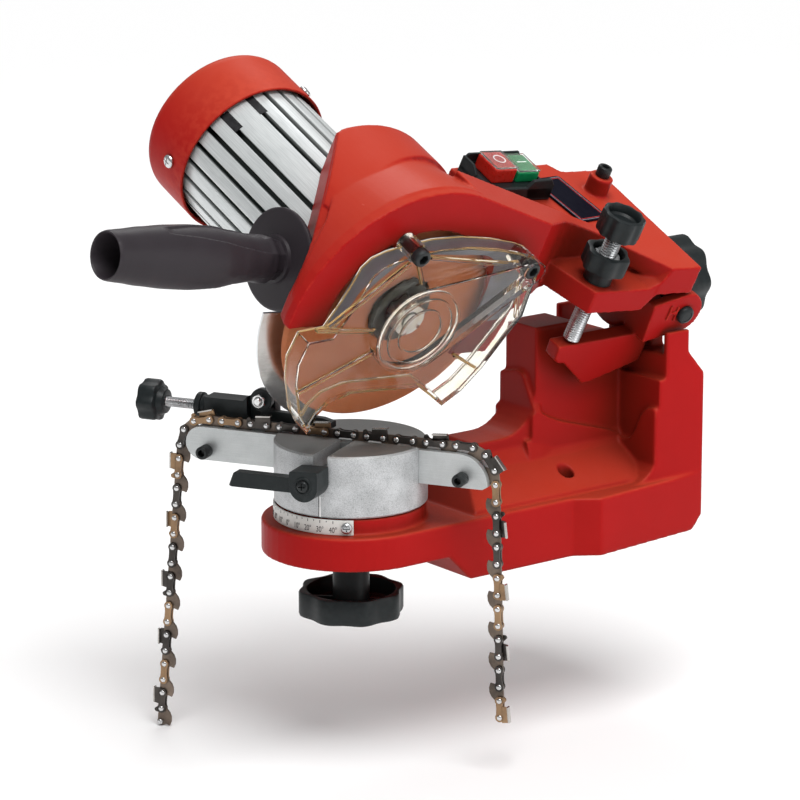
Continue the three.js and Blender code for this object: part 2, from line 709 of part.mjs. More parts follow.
// The pawl swings on a bolt beside the block, and its finger reaches up to the chain
function pawl() {
  const eye = rodY(PAWL_EYE, PAWL_FRONT, PAWL_BACK, 24).translate(PAWL_PIVOT, 0, PAWL_Z);
  const low = TABLE_TOP + 2 * EDGE;
  const arm = plateY([
    [PAWL_PIVOT, low], [PAWL_RIGHT, low], [PAWL_RIGHT, low + PAWL_EYE * 0.55],
    [PAWL_RIGHT - PAWL_EYE, low + PAWL_EYE * 0.8], [PAWL_PIVOT + PAWL_EYE, low + PAWL_EYE],
    [PAWL_PIVOT, PAWL_Z],
  ], PAWL_FRONT, PAWL_BACK);
  const finger = block(PAWL_RIGHT - PAWL_EYE * 1.6, PAWL_RIGHT, CHAIN_WIDE / 2 + SEAT_GAP,
    PAWL_FRONT + EDGE, low, low + PAWL_EYE * 0.55);
  const hole = rodY(PAWL_BOLT + SEAT_GAP, 0, PAWL_BACK + OVERRUN, 16);
  return cut(join(eye, arm, finger), hole.translate(PAWL_PIVOT, 0, PAWL_Z));
}

function pawlBolt() {
  const face = PAWL_FRONT - SEAT_GAP;
  const shank = rodY(PAWL_BOLT, face - EDGE, WORKSTOP_Y + WORKSTOP_BLOCK / 2, 16);
  const head = plateY(polygon(PAWL_BOLT * 2.1, 6), face - PAWL_BOLT * 1.6, face);
  return join(shank, head).translate(PAWL_PIVOT, 0, PAWL_Z);
}

// Tilting head: the carrier, in a frame whose origin is the tilt axis and whose X is the wheel's axis

function carrier() {
  const out = EAR_INNER + EAR_THICK;
  const bossRear = PLATE_FRONT - SEAT_GAP - SEAT_GAP;
  const face = TILT_DISC_FRONT - SEAT_GAP;
  const boss = lieAlongY(turned([
    [0, CARRIER_FRONT], [CARRIER_BOSS - CARRIER_CHAMFER, CARRIER_FRONT],
    [CARRIER_BOSS, CARRIER_FRONT + CARRIER_CHAMFER], [CARRIER_BOSS, face], [0, face],
  ], 32));
  const beam = block(-out, out, CARRIER_FRONT, bossRear, SHELF_TOP, -SHELF_TOP);
  const ear = plateX([
    [CARRIER_FRONT, -EAR_RADIUS], [HINGE_Y, HINGE_RISE - EAR_RADIUS],
    ...arc(HINGE_Y, HINGE_RISE, EAR_RADIUS, -80, 100, 12), [CARRIER_FRONT, -SHELF_TOP],
  ], EAR_INNER, out);
  const low = SHELF_TOP - SHELF_THICK;
  const shelf = plateX([
    [SHELF_FRONT, SHELF_TOP], [SHELF_FRONT, SHELF_TOP - SHELF_THICK * 0.75],
    [SHELF_FRONT + SHELF_THICK * 0.25, low], [bossRear, low - SHELF_THICK * 0.3],
    [bossRear, 0], [CARRIER_FRONT, 0], [CARRIER_FRONT, SHELF_TOP],
  ], SHELF_INNER, SHELF_OUTER);
  const gusset = plateX([
    [SHELF_FRONT + SHELF_THICK / 2, low + EDGE], [GUSSET_TIP, low - GUSSET_DROP],
    [GUSSET_TIP + SHELF_THICK / 2, low - GUSSET_DROP], [bossRear - EDGE, low - SHELF_THICK * 0.7],
    [bossRear - EDGE, low],
  ], SHELF_OUTER - GUSSET_THICK, SHELF_OUTER);
  const bolt = rodY(TILT_BOLT + SEAT_GAP, CARRIER_FRONT + CASTING_WALL, face + OVERRUN);
  const pin = rodX(HINGE_PIN + SEAT_GAP, -out - OVERRUN, out + OVERRUN).translate(0, HINGE_Y, HINGE_RISE);
  const whole = join(boss, beam, ear, ear.clone().translate(-EAR_INNER - out, 0, 0), shelf, gusset);
  return cut(whole, bolt, pin);
}

function tiltBolt() {
  const hubRear = PLATE_REAR + SEAT_GAP + TILT_HUB_DEPTH;
  return rodY(TILT_BOLT, CARRIER_FRONT + CASTING_WALL + SEAT_GAP, hubRear + TILT_KNOB_DEPTH / 2);
}

function tiltKnob() {
  const hubFront = PLATE_REAR + SEAT_GAP;
  const front = hubFront + TILT_HUB_DEPTH;
  const rear = front + TILT_KNOB_DEPTH;
  const grip = lieAlongY(plateZ(lobed(TILT_KNOB_RADIUS, 8, KNOB_SCALLOP), front, rear));
  const dish = rodY(TILT_KNOB_RADIUS * 0.7, rear - KNOB_FLOOR, rear + OVERRUN, 32);
  const hub = rodY(TILT_HUB_RADIUS, hubFront, front + EDGE);
  const bore = rodY(TILT_BOLT + SEAT_GAP, hubFront - OVERRUN, rear - TILT_KNOB_DEPTH / 2 + EDGE);
  return cut(join(cut(grip, dish), hub), bore);
}

// A short shouldered pin through one ear into one leg of the arm
function hingePin(side) {
  const out = EAR_INNER + EAR_THICK;
  const inner = EAR_INNER - LEG_THICK;
  const pin = lieAlongX(turned([
    [0, inner], [HINGE_PIN, inner], [HINGE_PIN, out + SEAT_GAP], [HINGE_HEAD, out + SEAT_GAP],
    [HINGE_HEAD, out + HINGE_HEAD_DEPTH - EDGE], [HINGE_HEAD - EDGE, out + HINGE_HEAD_DEPTH],
    [0, out + HINGE_HEAD_DEPTH],
  ], 24));
  return (side > 0 ? pin : pin.rotateZ(Math.PI)).translate(0, HINGE_Y, HINGE_RISE);
}

// The lifting spring between carrier and arm, as one unbroken wound wire
function windSpring(height) {
  const steps = SPRING_TURNS * 8;
  const sides = 5;
  const positions = [];
  const index = [];
  for (let i = 0; i <= steps; i += 1) {
    const angle = TURN * SPRING_TURNS * i / steps;
    const centre = new THREE.Vector3(
      SPRING_RADIUS * Math.cos(angle), SPRING_RADIUS * Math.sin(angle), height * i / steps);
    const outward = new THREE.Vector3(Math.cos(angle), Math.sin(angle), 0);
    for (let j = 0; j < sides; j += 1) {
      const around = TURN * j / sides;
      const point = centre.clone().addScaledVector(outward, SPRING_WIRE * Math.cos(around));
      point.z += SPRING_WIRE * Math.sin(around);
      positions.push(point.x, point.y, point.z);
    }
  }
  for (let i = 0; i < steps; i += 1) {
    for (let j = 0; j < sides; j += 1) {
      const a = i * sides + j;
      const b = i * sides + (j + 1) % sides;
      index.push(a, a + sides, b, b, a + sides, b + sides);
    }
  }
  for (let j = 1; j < sides - 1; j += 1) {
    const last = steps * sides;
    index.push(0, j, j + 1);
    index.push(last, last + j + 1, last + j);
  }
  const geometry = new THREE.BufferGeometry();
  geometry.setAttribute('position', new THREE.BufferAttribute(new Float32Array(positions), 3));
  geometry.setIndex(index);
  geometry.computeVertexNormals();
  return geometry;
}

// The least distance between points of the wire that lie half a turn or more apart
function leastGap(geometry, sides) {
  const position = geometry.attributes.position;
  let least = Infinity;
  for (let i = 0; i < position.count; i += 1) {
    for (let j = i + 4 * sides; j < position.count; j += 1) {
      least = Math.min(least, Math.hypot(position.getX(i) - position.getX(j),
        position.getY(i) - position.getY(j), position.getZ(i) - position.getZ(j)));
    }
  }
  return least;
}

function returnSpring() {
  const lean = rad(ARM_RAISE_DEG);
  const low = -SHELF_TOP + SEAT_GAP + SPRING_WIRE;
  const under = HINGE_RISE + SADDLE_UNDER * Math.cos(lean)
    + (HINGE_Y - SPRING_Y - SPRING_RADIUS) * Math.sin(lean);
  const spring = windSpring(under - SPRING_WIRE - SEAT_GAP - low);
  console.log(`return_spring least gap ${leastGap(spring, 5).toFixed(2)} mm`);
  return spring.translate(SPRING_A, SPRING_Y, low);
}

function scaleScrew() {
  return panScrew(SCALE_SCREW, BOSS_HEIGHT / 2, 12).rotateX(QUARTER)
    .translate(0, -BOSS_RADIUS - EDGE - 2 * SEAT_GAP, DECK_HEIGHT + BOSS_HEIGHT / 2)
    .rotateZ(rad(SCALE_SCREW_DEG));
}

function scaleBore() {
  return rodY(SCALE_SCREW + SEAT_GAP, -BOSS_RADIUS * 1.2, -BOSS_RADIUS + CASTING_WALL, 12)
    .translate(0, 0, DECK_HEIGHT + BOSS_HEIGHT / 2).rotateZ(rad(SCALE_SCREW_DEG));
}

// Arm casting, in the arm's frame: its origin is the hinge and -Y runs to the front

const AXIS_Y = -ARM_LENGTH;
const AXIS_C = -AXIS_DROP;
const BEARING_BORE = BEARING_RADIUS + SEAT_GAP;
const MOTOR_SOCKET = MOTOR_RADIUS + SEAT_GAP;
const MOTOR_SEAT = MOTOR_FRONT + SEAT_GAP;
const GUARD_SCREWS = [[UPPER_SCREW_Y, UPPER_SCREW_C], [REAR_SCREW_Y, REAR_SCREW_C]];
const COVER_INSIDE = COVER_RADIUS - COVER_WALL;

// The flat saddle over the hinge, with the flank over the right ear
function saddle() {
  const legOut = EAR_INNER - RUN_GAP;
  const legIn = legOut - LEG_THICK;
  const top = plateZ([
    [SADDLE_LEFT, SADDLE_FRONT], [SADDLE_LEFT, -SADDLE_DEPTH], [SADDLE_NOTCH_A, SADDLE_NOTCH_Y],
    [SADDLE_NOTCH_A, SADDLE_REAR * 2], [-SADDLE_CORNER, SADDLE_REAR], [FLANK_RIGHT, SADDLE_REAR],
    [FLANK_RIGHT, LUG_REAR], [SADDLE_WAIST, SADDLE_WAIST_Y], [SADDLE_WAIST, SADDLE_FRONT],
  ], SADDLE_UNDER, SADDLE_TOP);
  const lower = plateZ([
    [SADDLE_LEFT, SADDLE_FRONT], [SADDLE_LEFT, -SADDLE_DEPTH], [COVER_FACE, -SADDLE_DEPTH],
    [SADDLE_WAIST, SADDLE_WAIST_Y], [SADDLE_WAIST, SADDLE_FRONT],
  ], HOOD_BOTTOM, SADDLE_UNDER + OVERRUN);
  const barrel = rodX(BARREL_RADIUS, legIn, legOut, 28);
  const web = plateX([
    [-BARREL_RADIUS, 0], [BARREL_RADIUS * 0.9, BARREL_RADIUS * 0.4], [0, SADDLE_UNDER + OVERRUN],
    [-BARREL_RADIUS * 1.6, SADDLE_UNDER + OVERRUN],
  ], legIn, legOut);
  const leg = join(barrel, web);
  const flank = plateX([
    [LUG_END - OVERRUN, FLANK_BOTTOM], [SADDLE_REAR, FLANK_BOTTOM], [SADDLE_REAR, SADDLE_TOP],
    [LUG_REAR, SADDLE_TOP], [LUG_END - OVERRUN, SADDLE_UNDER],
  ], legOut + RUN_GAP, FLANK_RIGHT);
  return join(top, lower, leg, leg.clone().translate(-legIn - legOut, 0, 0), flank);
}

// The lug that the depth stop screws through, with its sloping web up to the saddle
function stopLug() {
  const side = plateX([
    [LUG_FRONT, LUG_BOTTOM], [-SADDLE_DEPTH, LUG_BOTTOM], [LUG_END, FLANK_BOTTOM],
    [LUG_END, SADDLE_UNDER + OVERRUN], [-SADDLE_DEPTH, LUG_TOP], [LUG_FRONT, LUG_TOP],
  ], 0, LUG_RIGHT);
  const plan = plateZ([
    [0, LUG_FRONT], [LUG_LEFT, LUG_FRONT], [LUG_RIGHT, LUG_FRONT + LUG_SLANT], [LUG_RIGHT, 0],
    [0, 0],
  ], 0, SADDLE_TOP);
  return common(side, plan);
}

// The hood: a beam that runs tangent to the wheel cover down to the saddle
function hood() {
  const slope = rad(HOOD_SLOPE_DEG);
  const tangentY = AXIS_Y + COVER_RADIUS * Math.sin(slope);
  const tangentC = AXIS_C + COVER_RADIUS * Math.cos(slope);
  const run = (tangentC - SADDLE_TOP) / Math.tan(slope);
  const side = plateX([
    [tangentY, tangentC], [tangentY, 0], [AXIS_Y + COVER_RADIUS, HOOD_BOTTOM - CASTING_WALL],
    [-SADDLE_DEPTH, HOOD_BOTTOM], [-SADDLE_DEPTH, SADDLE_TOP], [tangentY + run, SADDLE_TOP],
  ], COVER_BACK, COVER_FACE);
  const plan = plateZ([
    [COVER_BACK, tangentY], [COVER_FACE, tangentY], [COVER_FACE, HOOD_SHOULDER],
    [LUG_LEFT, LUG_FRONT], [SADDLE_WAIST, HOOD_END], [SADDLE_WAIST, -SADDLE_DEPTH],
    [COVER_BACK, -SADDLE_DEPTH],
  ], -COVER_RADIUS, COVER_RADIUS);
  return common(side, plan);
}

// The space behind a slanting face that falls back from the side handle towards the motor and
// bulges between them
function slantedSpace(offset) {
  const tangent = Math.tan(rad(DRUM_CUT_DEG));
  const reach = COVER_RADIUS * 1.5;
  const back = DRUM_BACK + offset;
  return plateZ([
    [back, -DRUM_SHOULDER], [back + HANDLE_FORWARD * tangent, -HANDLE_FORWARD],
    [back + reach * tangent, -reach], [DRUM_BACK - reach, -reach], [DRUM_BACK - reach, reach],
    [back, reach],
  ], -reach, reach);
}

// The cover round the wheel: conical outside, open below and through its front ring
function wheelCover() {
  const reach = COVER_RADIUS * 2;
  const round = lieAlongX(turned([
    [0, COVER_WAIST_A], [COVER_WAIST, COVER_WAIST_A], [COVER_RADIUS, COVER_FACE - COVER_LIP],
    [COVER_RADIUS, COVER_FACE], [0, COVER_FACE],
  ], 48));
  const roundSpace = rodX(COVER_INSIDE, COVER_BACK + COVER_SKIN, COVER_FACE - COVER_SKIN, 48);
  const coneSpace = lieAlongX(turned([
    [0, COVER_WAIST_A], [COVER_WAIST - COVER_WALL, COVER_WAIST_A],
    [COVER_INSIDE, COVER_FACE - COVER_LIP], [COVER_INSIDE, COVER_FACE], [0, COVER_FACE],
  ], 48));
  const space = cut(common(roundSpace, coneSpace), slantedSpace(COVER_SKIN));
  const window = rodX(COVER_RADIUS - COVER_RING, 0, COVER_FACE + OVERRUN, 36);
  const strap = block(COVER_FACE - COVER_SKIN, COVER_FACE, UPPER_SCREW_Y - STRAP_HALF,
    UPPER_SCREW_Y + STRAP_HALF, UPPER_SCREW_C - STRAP_HALF, COVER_INSIDE - COVER_SKIN);
  const pad = block(COVER_BACK + OVERRUN, REAR_GUARD_BACK - SEAT_GAP, TAB_Y - TAB_HALF,
    TAB_Y + TAB_HALF, COVER_MOUTH, TAB_TOP);
  const below = plateX([[-reach, -reach], [reach, -reach], [reach, COVER_MOUTH - COVER_RING],
    [COVER_RING, COVER_MOUTH - COVER_RING], [0, COVER_MOUTH], [-reach, COVER_MOUTH]],
  COVER_WAIST_A - OVERRUN, COVER_FACE + OVERRUN);
  const shell = cut(round, space, window);
  return cut(join(shell, strap, pad), below, slantedSpace(0));
}

// The drum that joins cover and motor, cut off slantwise towards the side handle
function drum() {
  const reach = DRUM_RADIUS * 2;
  const chin = plateX([
    [-reach, -reach], [reach, -reach], [reach, 0], [DRUM_CHIN, 0],
    ...arc(0, 0, DRUM_CHIN, -10, -170, 12), [-DRUM_CHIN, 0], [-reach, 0],
  ], DRUM_BACK - OVERRUN, COVER_BACK);
  const outer = cut(rodX(DRUM_RADIUS, DRUM_BACK, COVER_BACK, 40), chin, slantedSpace(0));
  const boss = rodY(HANDLE_BOSS, -HANDLE_FORWARD - OVERRUN, -MOTOR_SOCKET + OVERRUN)
    .translate(HANDLE_A, 0, HANDLE_UP);
  return join(outer, boss);
}

function armHousing() {
  const rotorEnd = [
    wheelCover(), drum(),
  ].map((piece) => piece.translate(0, AXIS_Y, AXIS_C));
  const wheelSpace = rodX(COVER_INSIDE, COVER_BACK + COVER_SKIN, COVER_FACE - COVER_SKIN, 48)
    .translate(0, AXIS_Y, AXIS_C);
  const face = rodX(COVER_RADIUS - COVER_RING, 0, COVER_FACE + OVERRUN, 36)
    .translate(0, AXIS_Y, AXIS_C);
  const solidHood = cut(hood(), wheelSpace, face);
  const capBoss = rodZ(CAP_BOSS, SADDLE_TOP - OVERRUN, SADDLE_TOP + CAP_BOSS_HEIGHT)
    .translate(CAP_BOSS_A, CAP_BOSS_Y, 0);
  const whole = join(saddle(), stopLug(), solidHood, ...rotorEnd, capBoss);
  const pin = rodX(HINGE_PIN + SEAT_GAP, -EAR_INNER, EAR_INNER);
  const stopBore = rodZ(STOP_SCREW + SEAT_GAP, -SADDLE_TOP, SADDLE_TOP * 2)
    .translate(STOP_A, STOP_Y, 0);
  const motorBore = rodX(MOTOR_SOCKET, DRUM_BACK - OVERRUN, MOTOR_SEAT, 40);
  const bearingBore = rodX(BEARING_BORE, MOTOR_SEAT - OVERRUN, COVER_BACK + COVER_SKIN + OVERRUN, 24);
  const handleBore = rodY(HANDLE_STUD + SEAT_GAP, -HANDLE_FORWARD - OVERRUN, -MOTOR_SOCKET - OVERRUN)
    .translate(HANDLE_A, 0, HANDLE_UP);
  const handleSeat = layHandle(rodZ(HANDLE_FLANGE + RUN_GAP, -SEAT_GAP, HANDLE_LENGTH / 2, 28));
  const screwBores = GUARD_SCREWS.map(([y, c]) => rodX(
    GUARD_SCREW + SEAT_GAP, COVER_FACE - COVER_SKIN - OVERRUN, COVER_FACE + OVERRUN, 14)
    .translate(0, y, c));
  const tabBore = rodX(TAB_SCREW + SEAT_GAP, COVER_BACK + COVER_SKIN, 0).translate(0, TAB_Y, TAB_C);
  const onAxis = [motorBore, bearingBore, handleBore, handleSeat, ...screwBores, tabBore]
    .map((bore) => bore.translate(0, AXIS_Y, AXIS_C));
  const capBore = rodZ(CAP_SCREW + SEAT_GAP, SADDLE_TOP, SADDLE_TOP + CAP_BOSS_HEIGHT + OVERRUN)
    .translate(CAP_BOSS_A, CAP_BOSS_Y, 0);
  const glandBore = rodX(GLAND_RADIUS, SADDLE_LEFT - OVERRUN, SADDLE_LEFT + GLAND_DEPTH)
    .translate(0, GLAND_Y, GLAND_C);
  return cut(whole, pin, stopBore, ...onAxis, capBore, glandBore);
}

function labelPlate() {
  return block(-LABEL_LONG / 2, LABEL_LONG / 2, -LABEL_WIDE / 2, LABEL_WIDE / 2, SEAT_GAP,
    SEAT_GAP + LABEL_THICK).rotateZ(rad(LABEL_DEG)).translate(LABEL_A, LABEL_Y, SADDLE_TOP);
}

function capScrew() {
  return socketScrew(CAP_SCREW, CAP_SCREW * 2.4, CAP_BOSS_HEIGHT - EDGE)
    .translate(CAP_BOSS_A, CAP_BOSS_Y, SADDLE_TOP + CAP_BOSS_HEIGHT + SEAT_GAP);
}

// The blanking gland where a lead would enter the arm
function cableGland() {
  const seat = SADDLE_LEFT + GLAND_DEPTH - EDGE;
  const gland = lieAlongX(turned([
    [0, SADDLE_LEFT - GLAND_DEPTH], [GLAND_RADIUS * 0.8, SADDLE_LEFT - GLAND_DEPTH],
    [GLAND_RADIUS * 1.4, SADDLE_LEFT - GLAND_DEPTH / 2], [GLAND_RADIUS * 1.4, SADDLE_LEFT - SEAT_GAP],
    [GLAND_RADIUS - SEAT_GAP, SADDLE_LEFT - SEAT_GAP], [GLAND_RADIUS - SEAT_GAP, seat], [0, seat],
  ]));
  const hole = rodX(GLAND_RADIUS * 0.45, SADDLE_LEFT - GLAND_DEPTH - OVERRUN, SADDLE_LEFT);
  return cut(gland, hole).translate(0, GLAND_Y, GLAND_C);
}

// Depth stop: a screw through the lug, its cup knob on top and the knob that locks it

function depthScrew() {
  const end = STOP_SCREW * 0.4;
  const top = STOP_KNOB_LOW + STOP_KNOB_HEIGHT / 2;
  return turned([
    [0, STOP_TIP], [end, STOP_TIP], [STOP_SCREW, STOP_TIP + STOP_SCREW - end], [STOP_SCREW, top],
    [0, top],
  ], 20).translate(STOP_A, STOP_Y, 0);
}

function depthKnob() {
  const top = STOP_KNOB_LOW + STOP_KNOB_HEIGHT;
  const floor = STOP_KNOB_LOW + STOP_KNOB_HEIGHT / 2 + EDGE + SEAT_GAP;
  const grip = plateZ(lobed(STOP_KNOB_RADIUS, 10, EDGE), STOP_KNOB_LOW, top);
  const cup = rodZ(STOP_KNOB_RADIUS * 0.72, floor, top + OVERRUN, 32);
  const bore = rodZ(STOP_SCREW + SEAT_GAP, STOP_KNOB_LOW - OVERRUN, floor - EDGE);
  return cut(grip, cup, bore).translate(STOP_A, STOP_Y, 0);
}

function depthLockKnob() {
  const low = LUG_TOP + SEAT_GAP;
  const grip = plateZ(lobed(LOCK_KNOB_RADIUS, 6, EDGE * 2), low + LOCK_NECK,
    low + LOCK_NECK + LOCK_KNOB_HEIGHT);
  const neck = rodZ(LOCK_KNOB_RADIUS * 0.55, low, low + LOCK_NECK + EDGE);
  const bore = rodZ(STOP_SCREW + SEAT_GAP, 0, SADDLE_TOP * 2);
  return cut(join(grip, neck), bore).translate(STOP_A, STOP_Y, 0);
}

// Switch on the saddle: two push buttons in a housing with a clear frame

const SWITCH_BASE = SADDLE_TOP + SEAT_GAP;
const SWITCH_TOP = SWITCH_BASE + SWITCH_HIGH;
const BUTTON_LEFT = SWITCH_LEFT + SWITCH_RIM;
const BUTTON_FLOOR = SWITCH_BASE + SWITCH_RIM;

function buttonFront(index) {
  return BUTTON_FRONT + index * (BUTTON_LONG + EDGE);
}

function switchHousing() {
  const right = SWITCH_LEFT + SWITCH_WIDE;
  const body = plateX([
    [SWITCH_FRONT, SWITCH_BASE], [SWITCH_FRONT + SWITCH_LONG, SWITCH_BASE],
    [SWITCH_FRONT + SWITCH_LONG, SWITCH_TOP - SWITCH_RIM],
    [SWITCH_FRONT + SWITCH_LONG - SWITCH_RIM, SWITCH_TOP], [SWITCH_FRONT + SWITCH_RIM, SWITCH_TOP],
    [SWITCH_FRONT, SWITCH_TOP - SWITCH_RIM],
  ], SWITCH_LEFT, right);
  const wells = [0, 1].map((index) => block(BUTTON_LEFT, BUTTON_LEFT + BUTTON_WIDE,
    buttonFront(index), buttonFront(index) + BUTTON_LONG, BUTTON_FLOOR, SWITCH_TOP + OVERRUN));
  const recess = block(BUTTON_LEFT, right - SWITCH_RIM, SWITCH_FRONT + SWITCH_RIM,
    SWITCH_FRONT + SWITCH_LONG - SWITCH_RIM * 2, SWITCH_TOP - SWITCH_RIM, SWITCH_TOP + OVERRUN);
  return cut(body, ...wells, recess);
}

function buttonTop(index) {
  return SWITCH_TOP + BUTTON_RISE - index * BUTTON_TRAVEL;
}

function switchButton(index) {
  const front = buttonFront(index);
  const low = BUTTON_FLOOR + BUTTON_TRAVEL + RUN_GAP;
  return block(BUTTON_LEFT + RUN_GAP, BUTTON_LEFT + BUTTON_WIDE - RUN_GAP, front + RUN_GAP,
    front + BUTTON_LONG - RUN_GAP, low, buttonTop(index));
}

function buttonLens(index) {
  const front = buttonFront(index);
  const low = buttonTop(index) + SEAT_GAP;
  return block(BUTTON_LEFT + RUN_GAP, BUTTON_LEFT + BUTTON_WIDE - RUN_GAP, front + RUN_GAP,
    front + BUTTON_LONG - RUN_GAP, low, low + LENS_THICK);
}

// Motor, wheel and guards, in a frame on the wheel's axis

// The finned tube: lands and grooves round it, and one wide land on top
function motorHousing() {
  const points = [];
  const pitch = (360 - FIN_WIDE_DEG) / (FIN_COUNT - 1);
  const groove = pitch * FIN_GROOVE_SHARE / 2;
  let middle = FIN_WIDE_AT_DEG;
  for (let i = 0; i < FIN_COUNT; i += 1) {
    const reach = i === 0 ? FIN_WIDE_DEG : pitch;
    const from = middle + groove;
    const to = middle + reach - groove;
    points.push(...arc(0, 0, MOTOR_RADIUS, from, to, 3));
    points.push(...arc(0, 0, MOTOR_RADIUS - FIN_DEPTH, to, to + 2 * groove, 1));
    middle += reach;
  }
  const body = plateX(points, MOTOR_BACK, MOTOR_FRONT);
  const bore = rodX(MOTOR_BORE, MOTOR_BACK - OVERRUN, MOTOR_FRONT - CASTING_WALL / 2, 40);
  const shaftHole = rodX(BEARING_RADIUS, MOTOR_FRONT - CASTING_WALL, MOTOR_FRONT + OVERRUN);
  return cut(body, bore, shaftHole);
}

function motorEndCap() {
  const end = CAP_RIM - CAP_DEPTH;
  const inner = MOTOR_RADIUS + SEAT_GAP;
  const floor = end + CAP_WALL;
  const crown = CAP_CROWN;
  const shell = lieAlongX(turned([
    [0, end], [CAP_RADIUS - crown, end],
    ...arc(CAP_RADIUS - crown, end + crown, crown, -60, 0, 3),
    [CAP_RADIUS, CAP_RIM], [inner, CAP_RIM], [inner, floor + crown],
    [inner - crown, floor], [BEARING_BORE + CAP_WALL, floor],
    [BEARING_BORE + CAP_WALL, floor + BEARING_WIDTH], [BEARING_BORE, floor + BEARING_WIDTH],
    [BEARING_BORE, floor], [0, floor],
  ], 36));
  const holes = CAP_SCREW_DEGS.map((angle) => rodZ(TAB_SCREW + SEAT_GAP, MOTOR_BORE, CAP_RADIUS * 2, 10)
    .rotateX(rad(angle)).translate(CAP_SCREW_A, 0, 0));
  return cut(shell, ...holes);
}

function endCapScrew(angle) {
  const seat = CAP_RADIUS + SEAT_GAP;
  return panScrew(TAB_SCREW, CAP_WALL).translate(0, 0, seat).rotateX(rad(angle))
    .translate(CAP_SCREW_A, 0, 0);
}

const STATOR_FRONT = MOTOR_FRONT - MOTOR_BORE;
const STATOR_BACK = MOTOR_BACK + MOTOR_BORE * 0.7;
const ROTOR_RADIUS = MOTOR_BORE * 0.58;

function statorCore() {
  const teeth = plateX(arc(0, 0, MOTOR_BORE - SEAT_GAP, 0, 360 - 360 / 48, 47), STATOR_BACK,
    STATOR_FRONT);
  return cut(teeth, rodX(ROTOR_RADIUS + RUN_GAP, STATOR_BACK - OVERRUN, STATOR_FRONT + OVERRUN, 40));
}

function rotorCore() {
  const body = rodX(ROTOR_RADIUS, STATOR_BACK, STATOR_FRONT, 40);
  return cut(body, rodX(SHAFT_RADIUS + SEAT_GAP, STATOR_BACK - OVERRUN, STATOR_FRONT + OVERRUN));
}

const FLANGE_SEAT = WHEEL_A - WHEEL_THICK / 2 - SEAT_GAP;
const OUTER_FLANGE = WHEEL_A + WHEEL_THICK / 2 + SEAT_GAP;
const NUT_SEAT = OUTER_FLANGE + FLANGE_THICK + SEAT_GAP;
const SHAFT_BACK = CAP_RIM - CAP_DEPTH + CAP_WALL + EDGE;
const THREAD = SHAFT_RADIUS * 0.8;

function rotorShaft() {
  return lieAlongX(turned([
    [0, SHAFT_BACK], [SHAFT_RADIUS, SHAFT_BACK], [SHAFT_RADIUS, FLANGE_SEAT - FLANGE_THICK],
    [THREAD, FLANGE_SEAT - FLANGE_THICK], [THREAD, NUT_SEAT + NUT_THICK + EDGE],
    [0, NUT_SEAT + NUT_THICK + EDGE],
  ], 24));
}

function ring(outer, inner, from, to, sides = 24) {
  return lieAlongX(turned([[inner, from], [outer, from], [outer, to], [inner, to], [inner, from]],
    sides));
}

function coolingFan() {
  const middle = (MOTOR_BACK + STATOR_BACK) / 2;
  const hub = SHAFT_RADIUS * 2;
  const core = rodX(hub, middle - CASTING_WALL, middle + CASTING_WALL);
  const blades = Array.from({ length: 8 }, (_, i) => block(
    middle - CASTING_WALL, middle + CASTING_WALL, -EDGE / 2, EDGE / 2, hub - EDGE,
    MOTOR_BORE * 0.85).rotateX(TURN * i / 8));
  const bore = rodX(SHAFT_RADIUS + SEAT_GAP, middle - 2 * CASTING_WALL, middle + 2 * CASTING_WALL);
  return cut(join(core, ...blades), bore);
}

function innerFlange() {
  const back = FLANGE_SEAT - FLANGE_THICK + SEAT_GAP;
  const pilot = FLANGE_SEAT + WHEEL_THICK / 2;
  return lieAlongX(turned([
    [THREAD + SEAT_GAP, back], [FLANGE_RADIUS, back], [FLANGE_RADIUS, FLANGE_SEAT],
    [WHEEL_BORE - SEAT_GAP, FLANGE_SEAT], [WHEEL_BORE - SEAT_GAP, pilot], [THREAD + SEAT_GAP, pilot],
    [THREAD + SEAT_GAP, back],
  ], 24));
}

function grindingWheel() {
  const half = WHEEL_THICK / 2;
  const chamfer = WHEEL_THICK * 0.3;
  const front = WHEEL_A + half;
  const back = WHEEL_A - half;
  return lieAlongX(turned([
    [WHEEL_BORE, back], [WHEEL_RADIUS - chamfer, back], [WHEEL_RADIUS, WHEEL_A - half + chamfer],
    [WHEEL_RADIUS, WHEEL_A + half - chamfer], [WHEEL_RADIUS - chamfer, front], [WHEEL_BORE, front],
    [WHEEL_BORE, back],
  ], 48));
}

function spindleNut() {
  const corner = NUT_FLATS / Math.sqrt(3);
  const hexagon = lieAlongX(plateZ(polygon(corner, 6), NUT_SEAT, NUT_SEAT + NUT_THICK));
  return cut(hexagon, rodX(THREAD + SEAT_GAP, NUT_SEAT - OVERRUN, NUT_SEAT + NUT_THICK + OVERRUN));
}

function rearGuard() {
  const inner = REAR_GUARD_RADIUS * 0.75;
  const clear = COVER_MOUTH - EDGE;
  const start = Math.asin(-clear / REAR_GUARD_RADIUS) * 180 / Math.PI + 180;
  const plate = plateX([
    ...arc(0, 0, REAR_GUARD_RADIUS, start, 258, 20), ...arc(0, 0, inner, 258, 200, 10),
    [TAB_Y + TAB_HALF, clear], [TAB_Y + TAB_HALF, TAB_TOP], [TAB_Y - TAB_HALF, TAB_TOP],
    [TAB_Y - TAB_HALF, clear],
  ], REAR_GUARD_BACK, REAR_GUARD_BACK + REAR_GUARD_THICK);
  const hole = rodX(TAB_SCREW + SEAT_GAP, REAR_GUARD_BACK - OVERRUN, WHEEL_A).translate(0, TAB_Y, TAB_C);
  const handleRoom = layHandle(rodZ(HANDLE_FLANGE + RUN_GAP, -SEAT_GAP, HANDLE_LENGTH / 2, 28));
  return cut(plate, hole, handleRoom);
}

